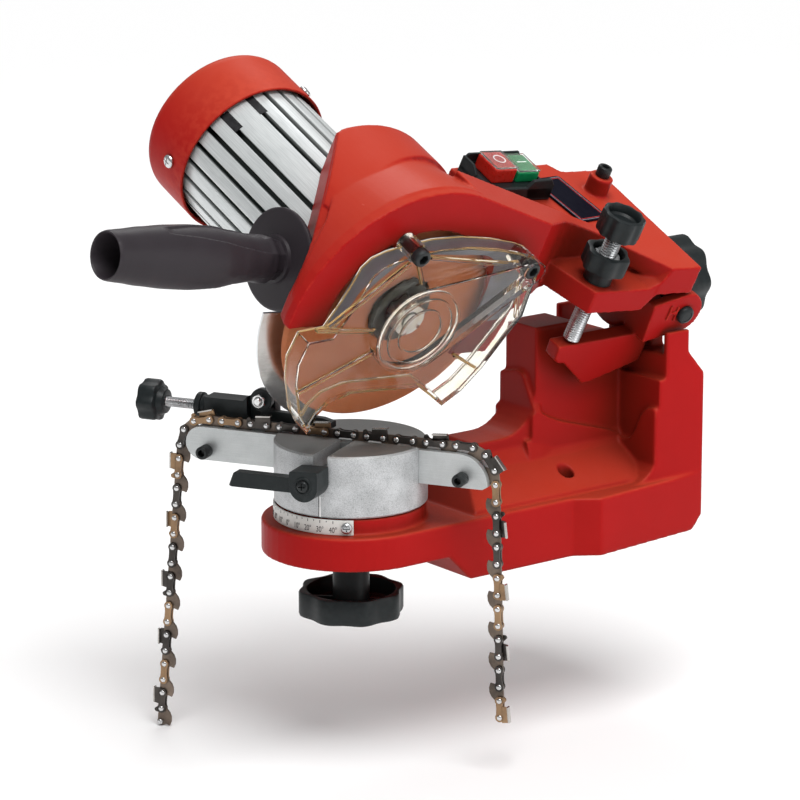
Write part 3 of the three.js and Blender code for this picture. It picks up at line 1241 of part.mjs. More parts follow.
function tabScrew() {
  const seat = REAR_GUARD_BACK + REAR_GUARD_THICK + SEAT_GAP;
  return lieAlongX(panScrew(TAB_SCREW, CASTING_WALL)).translate(seat, TAB_Y, TAB_C);
}

// An outline moved inwards by a distance, corner by corner
function inset(points, distance) {
  const count = points.length;
  const turnSign = Math.sign(THREE.ShapeUtils.area(points.map(([u, v]) => new THREE.Vector2(u, v))));
  return points.map(([u, v], i) => {
    const before = points[(i + count - 1) % count];
    const after = points[(i + 1) % count];
    const first = new THREE.Vector2(u - before[0], v - before[1]).normalize();
    const second = new THREE.Vector2(after[0] - u, after[1] - v).normalize();
    const normal = new THREE.Vector2(-first.y - second.y, first.x + second.x).normalize();
    const open = Math.max(0.5, Math.abs(normal.x * -first.y + normal.y * first.x));
    const shift = turnSign * distance / open;
    return [u + normal.x * shift, v + normal.y * shift];
  });
}

// The outline of the clear guard and its ribs, seen from the side, as shares of the guard's reach
const GUARD_OUTLINE_SHARES = [
  [-0.94, -0.28], [-0.92, -0.08], [-0.71, -0.05], [-0.64, 0.16], [-0.6, 0.32], [-0.58, 0.43],
  [-0.52, 0.51], [-0.41, 0.56], [-0.29, 0.59], [-0.04, 0.64], [0.23, 0.65], [0.52, 0.62], [0.73, 0.58],
  [0.86, 0.54], [0.94, 0.45], [0.96, 0.26], [0.98, 0.03], [0.91, -0.13], [0.8, -0.41], [0.69, -0.6],
  [0.56, -0.72], [0.37, -0.6], [0.27, -0.54], [-0.08, -0.54], [-0.35, -0.55], [-0.51, -0.61],
  [-0.58, -0.71], [-0.61, -0.87], [-0.74, -0.73], [-0.88, -0.46],
];

const GUARD_RIB_SHARES = [
  [[-0.23, 0.55], [-0.1, 0.35]], [[-0.3, 0.55], [-0.82, 0.03]], [[-0.9, 0.03], [-0.35, -0.01]],
  [[-0.85, -0.49], [-0.32, -0.19]], [[0.8, 0.33], [0.91, 0.03]], [[0.47, -0.27], [0.73, -0.4]],
  [[-0.13, 0.59], [0.72, 0.49]],
];

const GUARD_OUTLINE = GUARD_OUTLINE_SHARES.map(([y, c]) => [y * GUARD_REACH, c * GUARD_REACH]);

function guardRib([[y0, c0], [y1, c1]]) {
  const length = Math.hypot(y1 - y0, c1 - c0) * GUARD_REACH;
  const half = GUARD_WALL / 2;
  return block(GUARD_FACE - half, GUARD_FACE + GUARD_WALL * 0.7, 0, length, -half, half)
    .rotateX(Math.atan2(c1 - c0, y1 - y0)).translate(0, y0 * GUARD_REACH, c0 * GUARD_REACH);
}

// The raised teardrop on the guard's face: round near the wheel's axis, drawn out to the rear screw
function teardrop(radius, tip) {
  const across = REAR_SCREW_Y - GUARD_BOSS_Y;
  const up = REAR_SCREW_C - GUARD_BOSS_C;
  const heading = Math.atan2(up, across) * 180 / Math.PI;
  const lean = Math.acos((radius - tip) / Math.hypot(across, up)) * 180 / Math.PI;
  return [...arc(GUARD_BOSS_Y, GUARD_BOSS_C, radius, heading + lean, heading - lean + 360, 24),
    ...arc(REAR_SCREW_Y, REAR_SCREW_C, tip, heading - lean, heading + lean, 5)];
}

function clearGuard() {
  const inside = GUARD_FACE - GUARD_WALL;
  const top = GUARD_FACE + GUARD_BOSS_HEIGHT;
  const tip = GUARD_SCREW * 2.4;
  const shell = join(
    plateX(GUARD_OUTLINE, GUARD_BACK, GUARD_FACE),
    plateX(teardrop(GUARD_BOSS, tip), inside, top), ...GUARD_RIB_SHARES.map(guardRib));
  const hollow = join(
    plateX(inset(GUARD_OUTLINE, GUARD_WALL), GUARD_BACK - OVERRUN, inside),
    plateX(teardrop(GUARD_BOSS - GUARD_WALL, tip - GUARD_WALL), inside - OVERRUN, top - GUARD_WALL));
  const bosses = GUARD_SCREWS.map(([y, c]) => rodX(
    GUARD_SCREW * 2, GUARD_BACK, GUARD_FACE).translate(0, y, c));
  const seat = rodX(GUARD_SCREW * 2.2, GUARD_FACE, top + OVERRUN)
    .translate(0, REAR_SCREW_Y, REAR_SCREW_C);
  const bores = GUARD_SCREWS.map(([y, c]) => rodX(
    GUARD_SCREW + SEAT_GAP, GUARD_BACK - OVERRUN, top + OVERRUN, 14).translate(0, y, c));
  return cut(join(cut(shell, hollow), ...bosses), seat, ...bores);
}

function guardScrew([y, c]) {
  const seat = GUARD_FACE + SEAT_GAP;
  return lieAlongX(socketScrew(GUARD_SCREW, GUARD_SCREW * 1.4, seat - COVER_FACE + COVER_SKIN))
    .translate(seat, y, c);
}

// Side handle along -Y, rising a little to its open end
function layHandle(geometry) {
  return geometry.rotateX(QUARTER - rad(HANDLE_RISE_DEG))
    .translate(HANDLE_A, -HANDLE_FORWARD, HANDLE_UP);
}

function sideHandle() {
  const neck = HANDLE_FLANGE * 0.48;
  const grip = HANDLE_END * 1.33;
  const plate = HANDLE_FLANGE * 0.16;
  const lip = HANDLE_END * 1.06;
  const profile = [
    [0, 0], [HANDLE_FLANGE, 0], [HANDLE_FLANGE, plate * 0.8], [HANDLE_FLANGE - plate, plate],
    [neck * 0.8, plate], [neck * 0.85, plate * 2], [neck, HANDLE_LENGTH * 0.14],
    [neck * 1.12, HANDLE_LENGTH * 0.28], [grip, HANDLE_LENGTH * 0.45], [grip, HANDLE_LENGTH * 0.6],
    [grip * 0.91, HANDLE_LENGTH * 0.82], [lip, HANDLE_LENGTH * 0.97], [HANDLE_END, HANDLE_LENGTH],
    [HANDLE_END * 0.9, HANDLE_LENGTH], [HANDLE_END * 0.9, HANDLE_LENGTH * 0.35],
    [HANDLE_STUD + SEAT_GAP, HANDLE_LENGTH * 0.35], [HANDLE_STUD + SEAT_GAP, 0],
  ];
  const tube = [...profile.slice(1), profile[1]];
  return layHandle(turned(tube, 24));
}

function handleStud() {
  const outer = layHandle(rodZ(HANDLE_STUD, 0, HANDLE_LENGTH * 0.35));
  const inner = rodY(HANDLE_STUD, -HANDLE_FORWARD - EDGE, -MOTOR_SOCKET - 2 * OVERRUN)
    .translate(HANDLE_A, 0, HANDLE_UP);
  return join(outer, inner);
}

function bearing(middle) {
  return ring(BEARING_RADIUS, SHAFT_RADIUS + SEAT_GAP, middle - BEARING_WIDTH / 2,
    middle + BEARING_WIDTH / 2);
}

function outerFlange() {
  return ring(FLANGE_RADIUS, THREAD + SEAT_GAP, OUTER_FLANGE, OUTER_FLANGE + FLANGE_THICK, 24);
}

// Saw chain laid over the rails, hanging down on both sides

function sawChain() {
  const half = CHAIN_HIGH / 2;
  const ride = RAIL_TOP + half + SEAT_GAP;
  const left = RAIL_LEFT - half - EDGE;
  const right = RAIL_RIGHT + half + EDGE;
  const bend = RAIL_HEIGHT * 0.62;
  const bow = (radius, x, from, to) => arc(x, ride - bend, radius, from, to, 6);
  const outer = [
    [left - CHAIN_DRIFT - half, CHAIN_LEFT_END], ...bow(bend + half, left + bend, 180, 90),
    ...bow(bend + half, right - bend, 90, 0), [right + CHAIN_DRIFT / 4 + half, CHAIN_RIGHT_END],
  ];
  const inner = [
    [right + CHAIN_DRIFT / 4 - half, CHAIN_RIGHT_END], ...bow(bend - half, right - bend, 0, 90),
    ...bow(bend - half, left + bend, 90, 180), [left - CHAIN_DRIFT + half, CHAIN_LEFT_END],
  ];
  return plateY([...outer, ...inner], -CHAIN_WIDE / 2, CHAIN_WIDE / 2);
}

// The whole sharpener

const sharpener = new THREE.Group();
const machine = new THREE.Group();
machine.position.set(0, -VICE_TO_FOOT, 0);
sharpener.add(machine);

const vice = new THREE.Group();
vice.rotation.z = rad(VICE_DEG);
machine.add(vice);

const head = new THREE.Group();
head.position.set(TILT_X, 0, TILT_Z);
head.rotation.y = rad(TILT_DEG);
machine.add(head);

const arm = new THREE.Group();
arm.position.set(0, HINGE_Y, HINGE_RISE);
arm.rotation.x = -rad(ARM_RAISE_DEG);
head.add(arm);

const axis = new THREE.Group();
axis.position.set(0, AXIS_Y, AXIS_C);
arm.add(axis);

place('base_casting', baseCasting(), RED, machine);
place('scale_plate', scalePlate(), WHITE, machine);
place('scale_screw', scaleScrew(), BLACK, machine);
place('tilt_bolt', tiltBolt(), STEEL, head);
place('tilt_knob', tiltKnob(), BLACK, head);

place('turntable', turntable(), ALUMINIUM, vice);
place('vice_bolt', viceBolt(), STEEL, vice);
place('vice_knob', viceKnob(), BLACK, vice);
place('rail_front', rail(-RAIL_OUT), STEEL, vice);
place('rail_rear', rail(RAIL_OUT - RAIL_THICK), STEEL, vice);
place('rail_screw_left', railScrew(RAIL_SCREW_LEFT), BLACK, vice);
place('rail_screw_right', railScrew(RAIL_SCREW_RIGHT), BLACK, vice);
place('lever_screw', leverScrew(), STEEL, vice);
place('clamp_lever', clampLever(), BLACK, vice);
place('stop_block', stopBlock(), BLACK, vice);
place('stop_rod', stopRod(), STEEL, vice);
place('stop_collar', stopCollar(), BLACK, vice);
place('stop_knob', stopKnob(), BLACK, vice);
place('pawl', pawl(), STEEL, vice);
place('pawl_bolt', pawlBolt(), BLACK, vice);
place('saw_chain', sawChain(), CHAIN, vice);

place('tilt_carrier', carrier(), RED, head);
place('hinge_pin_right', hingePin(1), BLACK, head);
place('hinge_pin_left', hingePin(-1), BLACK, head);
place('return_spring', returnSpring(), STEEL, head);

place('arm_housing', armHousing(), RED, arm);
place('label_plate', labelPlate(), BLACK, arm);
place('cap_screw', capScrew(), BLACK, arm);
place('cable_gland', cableGland(), BLACK, arm);
place('depth_screw', depthScrew(), STEEL, arm);
place('depth_knob', depthKnob(), BLACK, arm);
place('depth_lock_knob', depthLockKnob(), BLACK, arm);
place('switch_housing', switchHousing(), BLACK, arm);
place('switch_off_button', switchButton(0), SIGNAL_RED, arm);
place('switch_on_button', switchButton(1), SIGNAL_GREEN, arm);
place('switch_off_lens', buttonLens(0), CLEAR, arm);
place('switch_on_lens', buttonLens(1), CLEAR, arm);

place('motor_housing', motorHousing(), ALUMINIUM, axis);
place('motor_end_cap', motorEndCap(), RED, axis);
CAP_SCREW_DEGS.forEach((angle, i) => place(`end_cap_screw_${i + 1}`, endCapScrew(angle), STEEL, axis));
place('stator_core', statorCore(), STEEL, axis);
place('rotor_core', rotorCore(), STEEL, axis);
place('rotor_shaft', rotorShaft(), STEEL, axis);
place('front_bearing', bearing(FRONT_BEARING_A), STEEL, axis);
place('rear_bearing', bearing(REAR_BEARING_A), STEEL, axis);
place('cooling_fan', coolingFan(), BLACK, axis);
place('inner_flange', innerFlange(), STEEL, axis);
place('grinding_wheel', grindingWheel(), RUBY, axis);
place('outer_flange', outerFlange(), BLACK, axis);
place('spindle_nut', spindleNut(), STEEL, axis);
place('rear_guard', rearGuard(), STEEL, axis);
place('rear_guard_screw', tabScrew(), STEEL, axis);
place('clear_guard', clearGuard(), CLEAR, axis);
place('guard_screw_upper', guardScrew(GUARD_SCREWS[0]), BLACK, axis);
place('guard_screw_rear', guardScrew(GUARD_SCREWS[1]), BLACK, axis);
place('side_handle', sideHandle(), BLACK, axis);
place('handle_stud', handleStud(), STEEL, axis);

export default sharpener;
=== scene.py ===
"""Looks of an electric sharpener for saw chains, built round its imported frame.

Sizes are millimetres in the frames of the machine, as in the part's source. A piece is made in
one of these frames and then set down in the scene, which is in metres.
"""

import logging
import math
import random
from dataclasses import dataclass, field
from enum import Enum
from typing import Callable, Iterable, Sequence, Union

import bmesh
import bpy
from mathutils import Matrix, Vector


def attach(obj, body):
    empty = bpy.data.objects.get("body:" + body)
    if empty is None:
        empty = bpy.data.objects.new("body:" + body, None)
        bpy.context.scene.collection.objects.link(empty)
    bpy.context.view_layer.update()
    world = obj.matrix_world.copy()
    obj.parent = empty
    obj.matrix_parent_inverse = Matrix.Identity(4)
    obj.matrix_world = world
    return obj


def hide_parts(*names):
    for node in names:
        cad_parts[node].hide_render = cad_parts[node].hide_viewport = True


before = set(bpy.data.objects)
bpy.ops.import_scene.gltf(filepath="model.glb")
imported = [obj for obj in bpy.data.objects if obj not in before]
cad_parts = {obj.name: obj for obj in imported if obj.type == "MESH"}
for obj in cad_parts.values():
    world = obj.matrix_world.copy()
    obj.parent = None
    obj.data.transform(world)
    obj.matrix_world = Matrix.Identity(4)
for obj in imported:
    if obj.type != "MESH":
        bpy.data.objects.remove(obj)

LOG = logging.getLogger("sharpener")
MM = 0.001
Point = tuple[float, float]
Radius = Union[float, Callable[[float], float]]
Colour = tuple[float, float, float]
Place = tuple[float, float, float]


def shift(x: float, y: float, z: float) -> Matrix:
    """Returns a move by a distance in millimetres."""
    return Matrix.Translation((x, y, z))


def turn(degrees: float, axis: str) -> Matrix:
    """Returns a turn about an axis named X, Y or Z."""
    return Matrix.Rotation(math.radians(degrees), 4, axis)


ROW = Matrix()
MACHINE = shift(0, -130, 0)
VICE = MACHINE @ turn(30, "Z")
HEAD = MACHINE @ shift(14, 0, 142) @ turn(24.7, "Y")
ARM = HEAD @ shift(0, 201, 3.2) @ turn(-6, "X")
AXIS = ARM @ shift(0, -195.6, -1.4)
ALONG_X = Matrix(((0, 0, 1, 0), (1, 0, 0, 0), (0, 1, 0, 0), (0, 0, 0, 1)))
ALONG_Y = Matrix(((0, 1, 0, 0), (0, 0, 1, 0), (1, 0, 0, 0), (0, 0, 0, 1)))


# Outlines

CORNER_SHARE = 0.45
SMALLEST_CORNER = 1e-4


def arc(u: float, v: float, radius: float, start: float, end: float, steps: int) -> list[Point]:
    """Returns points on an arc about a centre, with its ends in degrees."""
    angles = [math.radians(start + (end - start) * i / steps) for i in range(steps + 1)]
    return [(u + radius * math.cos(a), v + radius * math.sin(a)) for a in angles]


def softened(points: Sequence[Point], radius: float, steps: int = 4) -> list[Point]:
    """Rounds the corners of a closed outline.

    Args:
        points: The outline's corners in order.
        radius: How far from a corner its curve begins, where the sides are long enough.
        steps: How many stretches each curve has.

    Returns:
        The outline with a short curve at each corner.
    """
    rounded: list[Point] = []
    for i, point in enumerate(points):
        here = Vector(point)
        back, ahead = Vector(points[i - 1]) - here, Vector(points[(i + 1) % len(points)]) - here
        reach = min(radius, back.length * CORNER_SHARE, ahead.length * CORNER_SHARE)
        if reach < SMALLEST_CORNER:
            rounded.append(point)
            continue
        first, last = here + back.normalized() * reach, here + ahead.normalized() * reach
        for k in range(steps + 1):
            t = k / steps
            spot = first * (1 - t) ** 2 + here * (2 * t * (1 - t)) + last * t * t
            rounded.append((spot.x, spot.y))
    return rounded


def hexagon(flat: float) -> Callable[[float], float]:
    """Returns the reach of a hexagon that is half of its width across flats at its flats."""
    return lambda angle: flat / math.cos((angle + math.pi / 6) % (math.pi / 3) - math.pi / 6)


def lobed(radius: float, lobes: int, depth: float) -> Callable[[float], float]:
    """Returns the reach of a grip with finger hollows between its lobes."""
    return lambda angle: radius - depth * math.cos(angle * lobes / 2) ** 2


def crossed(long: float, short: float) -> Callable[[float], float]:
    """Returns the reach of a cross recess."""
    return lambda angle: short + (long - short) * abs(math.cos(2 * angle)) ** 5


# Blanks and pieces


class Blank:
    """A mesh in millimetres that is still being made."""

    def __init__(self) -> None:
        """Starts with nothing."""
        self.mesh = bmesh.new()

    def _points(self, spots: Iterable[Sequence[float]], at: Matrix) -> list:
        """Adds vertices at spots of a frame."""
        return [self.mesh.verts.new(at @ Vector(spot)) for spot in spots]

    def _bridge(self, low: list, high: list) -> None:
        """Closes the band between two rings, either of which may be one point.

        Args:
            low: The first ring's vertices.
            high: The second ring's vertices.
        """
        count = max(len(low), len(high))
        for i in range(count):
            corners = [low[i % len(low)], low[(i + 1) % len(low)],
                       high[(i + 1) % len(high)], high[i % len(high)]]
            distinct = list(dict.fromkeys(corners))
            if len(distinct) > 2:
                self.mesh.faces.new(distinct)

    def turned(self, profile: Sequence[tuple[Radius, float]], at: Matrix = ROW, sides: int = 64,
               looped: bool = False) -> "Blank":
        """Adds a body turned about Z.

        Args:
            profile: Pairs of radius and height. A radius may depend on the angle.
            at: The frame that it is made in.
            sides: How many sides go round.
            looped: Whether the profile closes on itself, as a ring's does.

        Returns:
            This blank.
        """
        rings = []
        for radius, height in profile:
            if radius == 0:
                rings.append(self._points([(0, 0, height)], at))
                continue
            spots = []
            for i in range(sides):
                angle = math.tau * i / sides
                reach = radius(angle) if callable(radius) else radius
                spots.append((reach * math.cos(angle), reach * math.sin(angle), height))
            rings.append(self._points(spots, at))
        for low, high in zip(rings, rings[1:] + (rings[:1] if looped else [])):
            self._bridge(low, high)
        return self

    def plate(self, outline: Sequence[Point], low: float, high: float, at: Matrix = ROW) -> "Blank":
        """Adds a plate whose outline lies in XY.

        Args:
            outline: The corners in order.
            low: Where the plate begins on Z.
            high: Where it ends.
            at: The frame that it is made in.

        Returns:
            This blank.
        """
        under = self._points([(u, v, low) for u, v in outline], at)
        over = self._points([(u, v, high) for u, v in outline], at)
        self._bridge(under, over)
        self.mesh.faces.new(list(reversed(under)))
        self.mesh.faces.new(over)
        return self

    def block(self, low: Sequence[float], high: Sequence[float], at: Matrix = ROW) -> "Blank":
        """Adds a block between two corners."""
        outline = [(low[0], low[1]), (high[0], low[1]), (high[0], high[1]), (low[0], high[1])]
        return self.plate(outline, low[2], high[2], at)

    def _closed(self, rings: list[list]) -> "Blank":
        """Bridges rings in order and closes the first and the last.

        Args:
            rings: The rings' vertices.

        Returns:
            This blank.
        """
        for low, high in zip(rings, rings[1:]):
            self._bridge(low, high)
        self.mesh.faces.new(rings[0])
        self.mesh.faces.new(list(reversed(rings[-1])))
        return self

    def lofted(self, sections: Sequence[Sequence[Sequence[float]]], at: Matrix = ROW) -> "Blank":
        """Adds a closed body through sections with the same number of corners."""
        return self._closed([self._points(section, at) for section in sections])

    def swept(self, path: Sequence[Sequence[float]], radius: float, at: Matrix = ROW,
              sides: int = 10) -> "Blank":
        """Adds a wire along a path, with closed ends.

        Args:
            path: The points of its middle line.
            radius: The wire's radius.
            at: The frame that it is made in.
            sides: How many sides go round.

        Returns:
            This blank.
        """
        spots = [Vector(p) for p in path]
        side = None
        rings = []
        for i, spot in enumerate(spots):
            ahead = (spots[min(i + 1, len(spots) - 1)] - spots[max(i - 1, 0)]).normalized()
            side = (side or ahead.orthogonal()) - ahead * (side or ahead.orthogonal()).dot(ahead)
            side.normalize()
            other = ahead.cross(side)
            rings.append(self._points([
                spot + side * (radius * math.cos(math.tau * k / sides))
                + other * (radius * math.sin(math.tau * k / sides)) for k in range(sides)], at))
        return self._closed(rings)

    def thread(self, radius: float, pitch: float, low: float, high: float,
               at: Matrix = ROW) -> "Blank":
        """Adds a threaded rod along Z, with chamfered ends.

        Args:
            radius: The radius over the crests.
            pitch: The rise of one turn.
            low: Where the rod begins.
            high: Where it ends.
            at: The frame that it is made in.

        Returns:
            This blank.
        """
        sides, rows_a_turn, depth, chamfer = 24, 6, pitch * 0.45, 0.8
        rows = int((high - low) / pitch * rows_a_turn)
        profile: list[tuple[Radius, float]] = [(0, low)]
        for k in range(rows + 1):
            height = low + (high - low) * k / rows
            near_end = min(height - low, high - height)
            crest = radius - max(0.0, chamfer - near_end)
            profile.append((
                lambda angle, h=height, c=crest:
                c - depth * abs(2 * ((h / pitch - angle / math.tau) % 1) - 1), height))
        return self.turned(profile + [(0, high)], at, sides)

    def joined(self, other: "Blank") -> "Blank":
        """Takes in the mesh of another blank.

        Args:
            other: The blank that is taken in.

        Returns:
            This blank.
        """
        mesh = bpy.data.meshes.new("joined")
        other.mesh.to_mesh(mesh)
        self.mesh.from_mesh(mesh)
        bpy.data.meshes.remove(mesh)
        return self

    def finished(self, name: str) -> bpy.types.Mesh:
        """Turns the faces outward and ends the blank.

        Args:
            name: The mesh's name.

        Returns:
            The mesh, in metres.
        """
        bmesh.ops.recalc_face_normals(self.mesh, faces=self.mesh.faces[:])
        self.mesh.transform(Matrix.Scale(MM, 4))
        mesh = bpy.data.meshes.new(name)
        self.mesh.to_mesh(mesh)
        self.mesh.free()
        return mesh


def linked(name: str, data: bpy.types.ID) -> bpy.types.Object:
    """Puts data in the scene as a new object and returns it.

    Args:
        name: The object's name.
        data: Its mesh, lamp, camera or text.

    Returns:
        The object.
    """
    thing = bpy.data.objects.new(name, data)
    bpy.context.scene.collection.objects.link(thing)
    return thing


def carried(node: str) -> Blank:
    """Returns a blank with the shape of a node of the frame, its flat faces made whole.

    Args:
        node: The node's name.

    Returns:
        The blank, in millimetres.
    """
    blank = Blank()
    blank.mesh.from_mesh(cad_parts[node].data)
    blank.mesh.transform(Matrix.Scale(1 / MM, 4))
    bmesh.ops.remove_doubles(blank.mesh, verts=blank.mesh.verts[:], dist=0.002)
    bmesh.ops.dissolve_limit(blank.mesh, angle_limit=math.radians(0.6), verts=blank.mesh.verts[:],
                             edges=blank.mesh.edges[:])
    return blank


def settled(name: str, mesh: bpy.types.Mesh, finish: "Finish", body: str,
            stands_for: Sequence[str], smooth: float) -> bpy.types.Object:
    """Puts a finished mesh in the scene.

    Args:
        name: The piece's name.
        mesh: Its mesh, in metres.
        finish: Its finish.
        body: The body that it rides on.
        stands_for: The nodes of the frame that it replaces.
        smooth: The angle in degrees up to which its faces shade as one.

    Returns:
        The piece.
    """
    mesh.shade_smooth()
    mesh.set_sharp_from_angle(angle=math.radians(smooth))
    mesh.materials.clear()
    mesh.materials.append(finish.material())
    thing = linked(name, mesh)
    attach(thing, body)
    if stands_for:
        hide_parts(*stands_for)
    LOG.info("made %s", name)
    return thing


def piece(name: str, blank: Blank, finish: "Finish", body: str, stands_for: Sequence[str] = (),
          edge: float = 0.0, smooth: float = 38.0) -> bpy.types.Object:
    """Turns a blank into a piece.

    Args:
        name: The piece's name.
        blank: Its mesh in millimetres of the row's frame.
        finish: Its finish.
        body: The body that it rides on.
        stands_for: The nodes of the frame that it replaces.
        edge: How wide its edges are rounded.
        smooth: The angle up to which its faces shade as one.

    Returns:
        The piece.
    """
    thing = settled(name, blank.finished(name), finish, body, stands_for, smooth)
    if edge:
        bevel = thing.modifiers.new("edges", "BEVEL")
        bevel.width = edge * MM
        bevel.segments = 3
        bevel.limit_method = "ANGLE"
        bevel.angle_limit = math.radians(32)
        bevel.harden_normals = True
    return thing


def casting(name: str, node: str, added: Blank, finish: "Finish", body: str,
            grain: float = 0.8, softness: int = 3) -> bpy.types.Object:
    """Turns a node and added forms into one casting with rounded edges and fillets.

    Args:
        name: The piece's name.
        node: The node that it replaces.
        added: Closed forms that grow out of the node.
        finish: Its finish.
        body: The body that it rides on.
        grain: The size of the cells that the surface is drawn from.
        softness: How many times the surface is evened out.

    Returns:
        The piece.
    """
    blank = carried(node).joined(added)
    bmesh.ops.triangulate(blank.mesh, faces=blank.mesh.faces[:])
    pattern = linked(name + "_pattern", blank.finished(name))
    cells = pattern.modifiers.new("cells", "REMESH")
    cells.mode = "VOXEL"
    cells.voxel_size = grain * MM
    even = pattern.modifiers.new("even", "SMOOTH")
    even.iterations = softness
    even.factor = 0.5
    fewer = pattern.modifiers.new("fewer", "DECIMATE")
    fewer.ratio = 0.3
    graph = bpy.context.evaluated_depsgraph_get()
    mesh = bpy.data.meshes.new_from_object(pattern.evaluated_get(graph))
    mesh.name = name
    bpy.data.objects.remove(pattern)
    return settled(name, mesh, finish, body, (node,), 60.0)


# Shaders


class Board:
    """A node tree with a short way to add nodes."""

    def __init__(self, tree: bpy.types.NodeTree) -> None:
        """Takes the tree that nodes are added to."""
        self.tree = tree

    def add(self, kind: str, options: dict | None = None, **values: object) -> bpy.types.Node:
        """Adds a node.

        Args:
            kind: The node's type, without the word ShaderNode.
            options: Its settings.
            **values: Values or links for its sockets, as socket_name, or as i0, i1 for a number.

        Returns:
            The node.
        """
        node = self.tree.nodes.new("ShaderNode" + kind)
        for name, value in (options or {}).items():
            setattr(node, name, value)
        self.feed(node, **values)
        return node

    def feed(self, node: bpy.types.Node, **values: object) -> None:
        """Sets or links sockets of a node.

        Args:
            node: The node.
            **values: Values or links for its sockets, as socket_name, or as i0, i1 for a number.
        """
        for name, value in values.items():
            numbered = name[0] == "i" and name[1:].isdigit()
            socket = node.inputs[int(name[1:]) if numbered else name.replace("_", " ")]
            if isinstance(value, bpy.types.NodeSocket):
                self.tree.links.new(value, socket)
            else:
                socket.default_value = value

    def sum(self, operation: str, *terms: object, clamp: bool = False) -> bpy.types.NodeSocket:
        """Adds a Math node over its terms and returns what it puts out.

        Args:
            operation: The node's operation.
            *terms: Numbers or links, in order.
            clamp: Whether the result is kept between 0 and 1.

        Returns:
            What the node puts out.
        """
        node = self.add("Math", {"operation": operation, "use_clamp": clamp},
                        **{f"i{i}": term for i, term in enumerate(terms)})
        return node.outputs[0]

    def blend(self, share: object, first: object, second: object) -> bpy.types.NodeSocket:
        """Mixes two colours and returns the result."""
        return self.add("Mix", {"data_type": "RGBA"}, i0=share, i6=first, i7=second).outputs[2]


